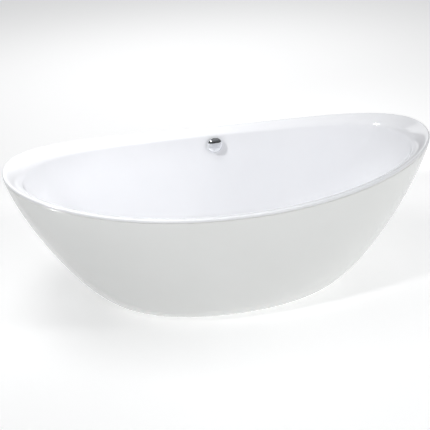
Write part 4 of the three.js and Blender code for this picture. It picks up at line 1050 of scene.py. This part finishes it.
def rosette_mesh():
    inner, tail = ROSETTE_TAIL - TAIL_WALL, HOUSING_FACE - 6
    line = [(inner, tail), (ROSETTE_TAIL - 0.5, tail)]
    line += thread_profile(ROSETTE_TAIL, tail + 0.6, WALL_BEND - 1.5, 1.5, 0.5)[::-1]
    line += [
        (ROSETTE_TAIL, WALL_BEND - 1), (ROSETTE_TAIL, ROSETTE_BACK), (ROSETTE - 0.3, ROSETTE_BACK),
        (ROSETTE, ROSETTE_BACK + 0.4)
    ]
    line += shoulder(ROSETTE, WALL_BEND + 1.2, 2, 1.8)
    line += [(inner + 0.5, WALL_BEND + 3), (inner, WALL_BEND + 2.5)]
    hub = hub_mesh(-4, 2)
    full = join("rosette", lathe("shell", line, 128), spokes(3, inner + TAIL_WALL / 2, 2, -4, 2, 90) + [hub])
    return cut("rosette", full, [rod(STEM + RUNNING, -6, 4, 48)])


def housing_mesh():
    radius, rim = ROSETTE_TAIL + GAP + PLASTIC_WALL, OVERFLOW_HOLE + 8
    cup = [(0, HOUSING_END), (radius - 3, HOUSING_END), (radius, HOUSING_END + 3), (radius, HOUSING_FACE - 4)]
    cup += [(rim, HOUSING_FACE - 4), (rim, HOUSING_FACE), (0, HOUSING_FACE)]
    down = shift(0, 0, SPOUT_Z) @ spin(90, "X")
    cable = shift(0, CRANK_LINE, CABLE_DEPTH) @ ALONG_MINUS_X
    adds = [
        moved(rod(HOSE, 0, SPOUT_DROP), down), moved(rod(CABLE + 3, ROSETTE_TAIL - 6, LUG_END, 48), cable)
    ]
    hollow = rod(ROSETTE_TAIL + GAP, HOUSING_END + PLASTIC_WALL, HOUSING_FACE + 1, 96)
    cuts = [hollow, moved(rod(HOSE - HOSE_WALL, 0, SPOUT_DROP + 1), down)]
    cuts += [rod(STEM + RUNNING, HOUSING_END - 1, HOUSING_END + PLASTIC_WALL + 1, 48)]
    cuts += [moved(rod(CABLE + 2 * GAP, ROSETTE_TAIL - 8, LUG_END + 1, 48), cable)]
    full = join("housing", lathe("cup", rounded(cup, 0.8, 4), 128), adds, 30)
    return cut("housing", full, cuts, 30)


def knob_mesh():
    """A hollow turned cap: a full round front, a fine ring groove and a thin rim behind."""
    rim = KNOB_BACK + KNOB_RIM
    dome = [(r, rim + z) for r, z in arc(KNOB, KNOB_FRONT - rim, 64, 2.05)][::-1]
    line = [
        (0, KNOB_FRONT - 6), (KNOB - 16, KNOB_FRONT - 9), (KNOB - 6, KNOB_BACK + 3),
        (KNOB - 3.4, KNOB_BACK + 0.4)
    ]
    line += [
        (KNOB - 2.6, KNOB_BACK), (KNOB - 1.5, KNOB_BACK), (KNOB - 0.9, KNOB_BACK + 0.5),
        (KNOB - 0.4, KNOB_BACK + 1.2)
    ]
    line += [(KNOB - 0.8, KNOB_BACK + 1.6), (KNOB - 0.4, KNOB_BACK + 2), (KNOB - 0.1, rim - 0.6)]
    hub = hub_mesh(KNOB_BACK, KNOB_FRONT - 5, 64)
    ribs = spokes(6, KNOB - 12, 0.9, KNOB_BACK + 6, KNOB_FRONT - 8)
    full = join("knob", lathe("cap", line + dome, 160, 40), [hub] + ribs, 40)
    return cut("knob", full, [rod(STEM + GAP, KNOB_BACK - 1, KNOB_FRONT - 8, 64)], 40)


def spindle_mesh():
    low, high = HOUSING_END + 0.5, KNOB_FRONT - 8 - GAP
    line = [
        (0, low), (STEM, low), (STEM, low + 7), (STEM - 0.5, low + 7.2), (STEM - 0.5, low + 8.2),
        (STEM, low + 8.4)
    ]
    return lathe("spindle", rounded(line + [(STEM, high), (0, high)], 0.35), 64)


def crank_mesh():
    front = CRANK_BACK + CRANK_THICKNESS
    adds = [
        moved(rod(4, CRANK_BACK, front, 48), shift(CRANK_ARM)),
        block((0, -3, CRANK_BACK), (CRANK_ARM, 3, front))
    ]
    full = join("crank", rod(STEM + 2.5, CRANK_BACK, front, 64), adds)
    cuts = [
        rod(STEM + GAP, CRANK_BACK - 1, front + 1, 64),
        moved(rod(1.2, CRANK_BACK - 1, front + 1, 24), shift(CRANK_ARM))
    ]
    return moved(cut("crank", full, cuts), spin(45, "Z"))


piece("rosette", moved(rosette_mesh(), TO_OVERFLOW), "chrome", "tub", "overflow_rosette")
seal = gasket_mesh(OVERFLOW_HOLE, OVERFLOW_HOLE + 7, WALL_BACK - GASKET, WALL_BACK)
piece("overflow_seal", moved(seal, TO_OVERFLOW), "rubber", "tub", "overflow_gasket")
piece("housing", moved(housing_mesh(), TO_OVERFLOW), "white", "tub", "overflow_housing")
piece("knob_cap", moved(knob_mesh(), TO_OVERFLOW), "chrome", "knob", "overflow_knob")
piece("spindle", moved(spindle_mesh(), TO_OVERFLOW), "zinc", "knob", "knob_spindle")
piece("crank_arm", moved(crank_mesh(), TO_OVERFLOW), "zinc", "knob", "cable_crank")

# ---------------------------------------------------------------- hose and cable between the two shells

def side_y(low, high, curve, z):
    """The half width of a shell at the middle of its long side, at a given height."""
    s0, s1 = 0.0, 1.0
    while s1 - s0 > 1e-6:
        s = (s0 + s1) / 2
        if mix(low[1], high[1], bezier(curve, s)[1]) < z:
            s0 = s
        else:
            s1 = s
    return mix(low[0], high[0], bezier(curve, s0)[0])


def skirt_y(z):
    top = RIM_SIDE - LIP_EDGE - BEAD - 2 * GAP
    return side_y((BASE_WIDTH / 2, SKIRT_GAP), (WIDTH / 2, top), SKIRT_SIDE, z)


def cavity_y(z):
    wall = side_y((FLOOR_WIDTH / 2, FLOOR), (WIDTH / 2 - LIP_SIDE, RIM_SIDE - LIP_DROP_SIDE), WALL_SIDE, z)
    return (wall + BASIN_WALL + skirt_y(z) - SKIRT_WALL) / 2


def from_overflow(x, y, z):
    return tuple(TO_OVERFLOW @ (Vector((x, y, z)) * MM) / MM)


def corner_point(x, radius):
    z = FLOOR - BASIN_WALL - 16
    return (x, skirt_y(z) - SKIRT_WALL - radius - 16, z)


def hose_points():
    low = min(PORT_Z, FRAME_BOTTOM - HOSE - 6)
    start = from_overflow(0, -SPOUT_DROP - GAP, SPOUT_Z)
    heights = spread(2, start[2] - 80, FLOOR + 60)
    drops = [(OVERFLOW_SHIFT * share, cavity_y(z), z) for z, share in zip(heights, (0.8, 0.4, 0))]
    return [
        start,
        from_overflow(0, -SPOUT_DROP - 12, SPOUT_Z),
        *drops,
        corner_point(0, HOSE),
        (0, FOOT_Y + 60, low + 6),
        (0, FOOT_Y - 10, low),
        (0, PORT_END + 14, PORT_Z),
        (0, PORT_END + GAP, PORT_Z),
    ]


def cable_points():
    beside, under = -LUG_END - 52, min(CABLE_BOSS_Z, FRAME_BOTTOM - CABLE - 8)
    bends = [(-ROSETTE_TAIL + 3, 0), (-LUG_END + 6, 0), (-LUG_END - 4, 0)]
    bends += [(-LUG_END - 24, 7), (-LUG_END - 44, 28), (beside, 52)]
    lead = [from_overflow(x, CRANK_LINE - drop, CABLE_DEPTH) for x, drop in bends]
    return [
        *lead[:-1],
        *((beside, cavity_y(z), z) for z in spread(3, lead[-1][2] - 20, FLOOR + 70)),
        corner_point(beside, CABLE),
        (beside, FOOT_Y + 50, under + 8),
        (beside, FOOT_Y - 10, under),
        (beside, 60, under),
        ((beside + CABLE_BOSS_END) / 2 - 8, 14, (under + CABLE_BOSS_Z) / 2),
        (CABLE_BOSS_END - 12, 0, CABLE_BOSS_Z),
        (CABLE_BOSS_END + 10, 0, CABLE_BOSS_Z),
    ]


def corrugation(length, plain=14, pitch=5.5):
    """The outer radius of the hose: plain cuffs at both ends and round ribs between them."""

    def radius(s):
        inside = min(max((min(s, length - s) - plain) / 4, 0), 1)
        return HOSE - inside * 0.75 * (1 - math.cos(2 * math.pi * s / pitch))

    return radius


def path_length(points):
    path = smooth_path([Vector(p) for p in points], 40)
    return sum((b - a).length for a, b in zip(path, path[1:]))


def hose_nut_mesh():
    inner = HOSE + GAP
    line = [(inner, -9), (inner + 1, -9), (inner + 2, -8), (inner + 2, 5), (inner + 1, 9), (inner, 9)]
    return grip_ring(inner + 2, line, 18, 0.8, -7, 4)


hose = tube_mesh("hose", hose_points(), HOSE, 36, corrugation(path_length(hose_points())), 1.6, 0.8)
piece("ribbed_hose", hose, "hose", "tub", "overflow_hose")
upper_nut = moved(hose_nut_mesh(), TO_OVERFLOW @ shift(0, -SPOUT_DROP + 4, SPOUT_Z) @ spin(90, "X"))
piece("hose_ring_upper", upper_nut, "dark", "tub", "hose_nut_upper")
lower_nut = moved(hose_nut_mesh(), shift(0, PORT_END - 4, PORT_Z) @ spin(90, "X"))
piece("hose_ring_lower", lower_nut, "dark", "tub", "hose_nut_lower")
piece("cable_line", tube_mesh("cable", cable_points(), CABLE, 20, step=3.0), "sheath", "tub", "control_cable")

# ---------------------------------------------------------------- camera, floor and light

AZIMUTH, ELEVATION, ROLL = (math.radians(v) for v in (-7.634, 34.46, -2.438))
DISTANCE, TARGET = 2.3517, Vector((-0.0413, 0, 0.3429))
VIEW_ANGLE = math.radians(43.03)
FLOOR_REACH, FLOOR_GLOW, BACKDROP = 14, 0.38, 0.86
FLOOR_COLOR, FLOOR_SHADE = (0.93, 0.93, 0.93), (0.92, 0.92, 0.92)
LOW_SKY, HIGH_SKY = 0.012, 0.24

back = Vector(
    (
        math.sin(AZIMUTH) * math.cos(ELEVATION),
        -math.cos(AZIMUTH) * math.cos(ELEVATION),
        math.sin(ELEVATION),
    )
)
right = (-back).cross(Vector((0, 0, 1))).normalized()
up = right.cross(-back)
turned_right = math.cos(ROLL) * right + math.sin(ROLL) * up
turned_up = -math.sin(ROLL) * right + math.cos(ROLL) * up
camera_data = bpy.data.cameras.new("camera")
camera_data.sensor_fit = "HORIZONTAL"
camera_data.angle = VIEW_ANGLE
camera = bpy.data.objects.new("camera", camera_data)
facing = Matrix((turned_right, turned_up, back)).transposed().to_4x4()
camera.matrix_world = Matrix.Translation(TARGET + back * DISTANCE) @ facing
scene.collection.objects.link(camera)
scene.camera = camera

scene.view_settings.view_transform = "Standard"
scene.view_settings.look = "None"

corners = [(x * FLOOR_REACH, y * FLOOR_REACH, 0) for x, y in ((-1, -1), (1, -1), (1, 1), (-1, 1))]
floor_mesh = mesh_from("floor", corners, [(0, 1, 2, 3)])
floor = new_object("floor", floor_mesh)
floor_mat, floor_tree, floor_bsdf = shader("floor", FLOOR_COLOR, 0.9)
floor_paint = tint(floor_tree, noise(floor_tree, 1.2, 2), FLOOR_COLOR, FLOOR_SHADE)
floor_tree.links.new(floor_paint, floor_bsdf.inputs["Base Color"])
floor_bsdf.inputs["Emission Color"].default_value = (1, 1, 1, 1)
floor_bsdf.inputs["Emission Strength"].default_value = FLOOR_GLOW
floor.data.materials.append(floor_mat)

world = bpy.data.worlds.new("studio")
scene.world = world
world.use_nodes = True
sky = world.node_tree
sky.nodes["Background"].inputs["Color"].default_value = (0.95, 0.97, 1.0, 1)
# Reflections and light see a sky that grows brighter upwards; seen directly it is an even pale backdrop.
sky_way = node(sky, "ShaderNodeTexCoord").outputs["Generated"]
height = node(sky, "ShaderNodeSeparateXYZ", {0: sky_way}).outputs["Z"]
glow = ramp(sky, height, 0.05, 0.8, LOW_SKY, HIGH_SKY)
seen = node(sky, "ShaderNodeLightPath").outputs["Is Camera Ray"]
backdrop = node(sky, "ShaderNodeMath", {0: seen, 1: BACKDROP}, operation="MULTIPLY").outputs[0]
strength = node(sky, "ShaderNodeMath", {0: glow, 1: backdrop}, operation="MAXIMUM").outputs[0]
sky.links.new(strength, sky.nodes["Background"].inputs["Strength"])


def place_lamp(data, place, aim, glossy=True):
    lamp = bpy.data.objects.new(data.name, data)
    lamp.visible_glossy = glossy
    lamp.visible_camera = False
    lamp.location = place
    lamp.rotation_euler = (Vector(aim) - Vector(place)).to_track_quat("-Z", "Y").to_euler()
    scene.collection.objects.link(lamp)


def softbox(name, place, aim, width, height, power, glossy=True):
    data = bpy.data.lights.new(name, "AREA")
    data.shape = "RECTANGLE"
    data.size, data.size_y = width, height
    data.energy = power
    place_lamp(data, place, aim, glossy)


def wide_sky(name, place, spread_angle, strength):
    data = bpy.data.lights.new(name, "SUN")
    data.angle = math.radians(spread_angle)
    data.energy = strength
    place_lamp(data, place, (0, 0, 0), False)


def spotlight(name, place, aim, cone, radius, power, glossy=True):
    data = bpy.data.lights.new(name, "SPOT")
    data.spot_size, data.spot_blend = math.radians(cone), 1.0
    data.shadow_soft_size = radius
    data.energy = power
    place_lamp(data, place, aim, glossy)


wide_sky("ceiling", (0.25, 0.13, 1), 70, 0.3)
softbox("front_right", (2.2, -3.2, 2.0), (0.3, 0, 0.3), 2.0, 1.6, 46, False)
softbox("back_floor", (0, 3.2, 2.6), (0, 2.6, 0), 4.0, 1.5, 36)
softbox("over_left", (-0.7, 0, 2.4), (0.3, 0, 0.3), 0.8, 0.7, 15, False)
spotlight("key", (-2.0, -1.0, 2.6), (0.15, 0.3, 0.45), 34, 0.12, 210)
spotlight("left_wash", (2.0, -0.9, 2.2), (-0.75, 0.1, 0.5), 24, 0.3, 175, False)
spotlight("glint", (0.81, 1.9, 0.7), (0.78, -0.1, 0.64), 20, 0.02, 13)
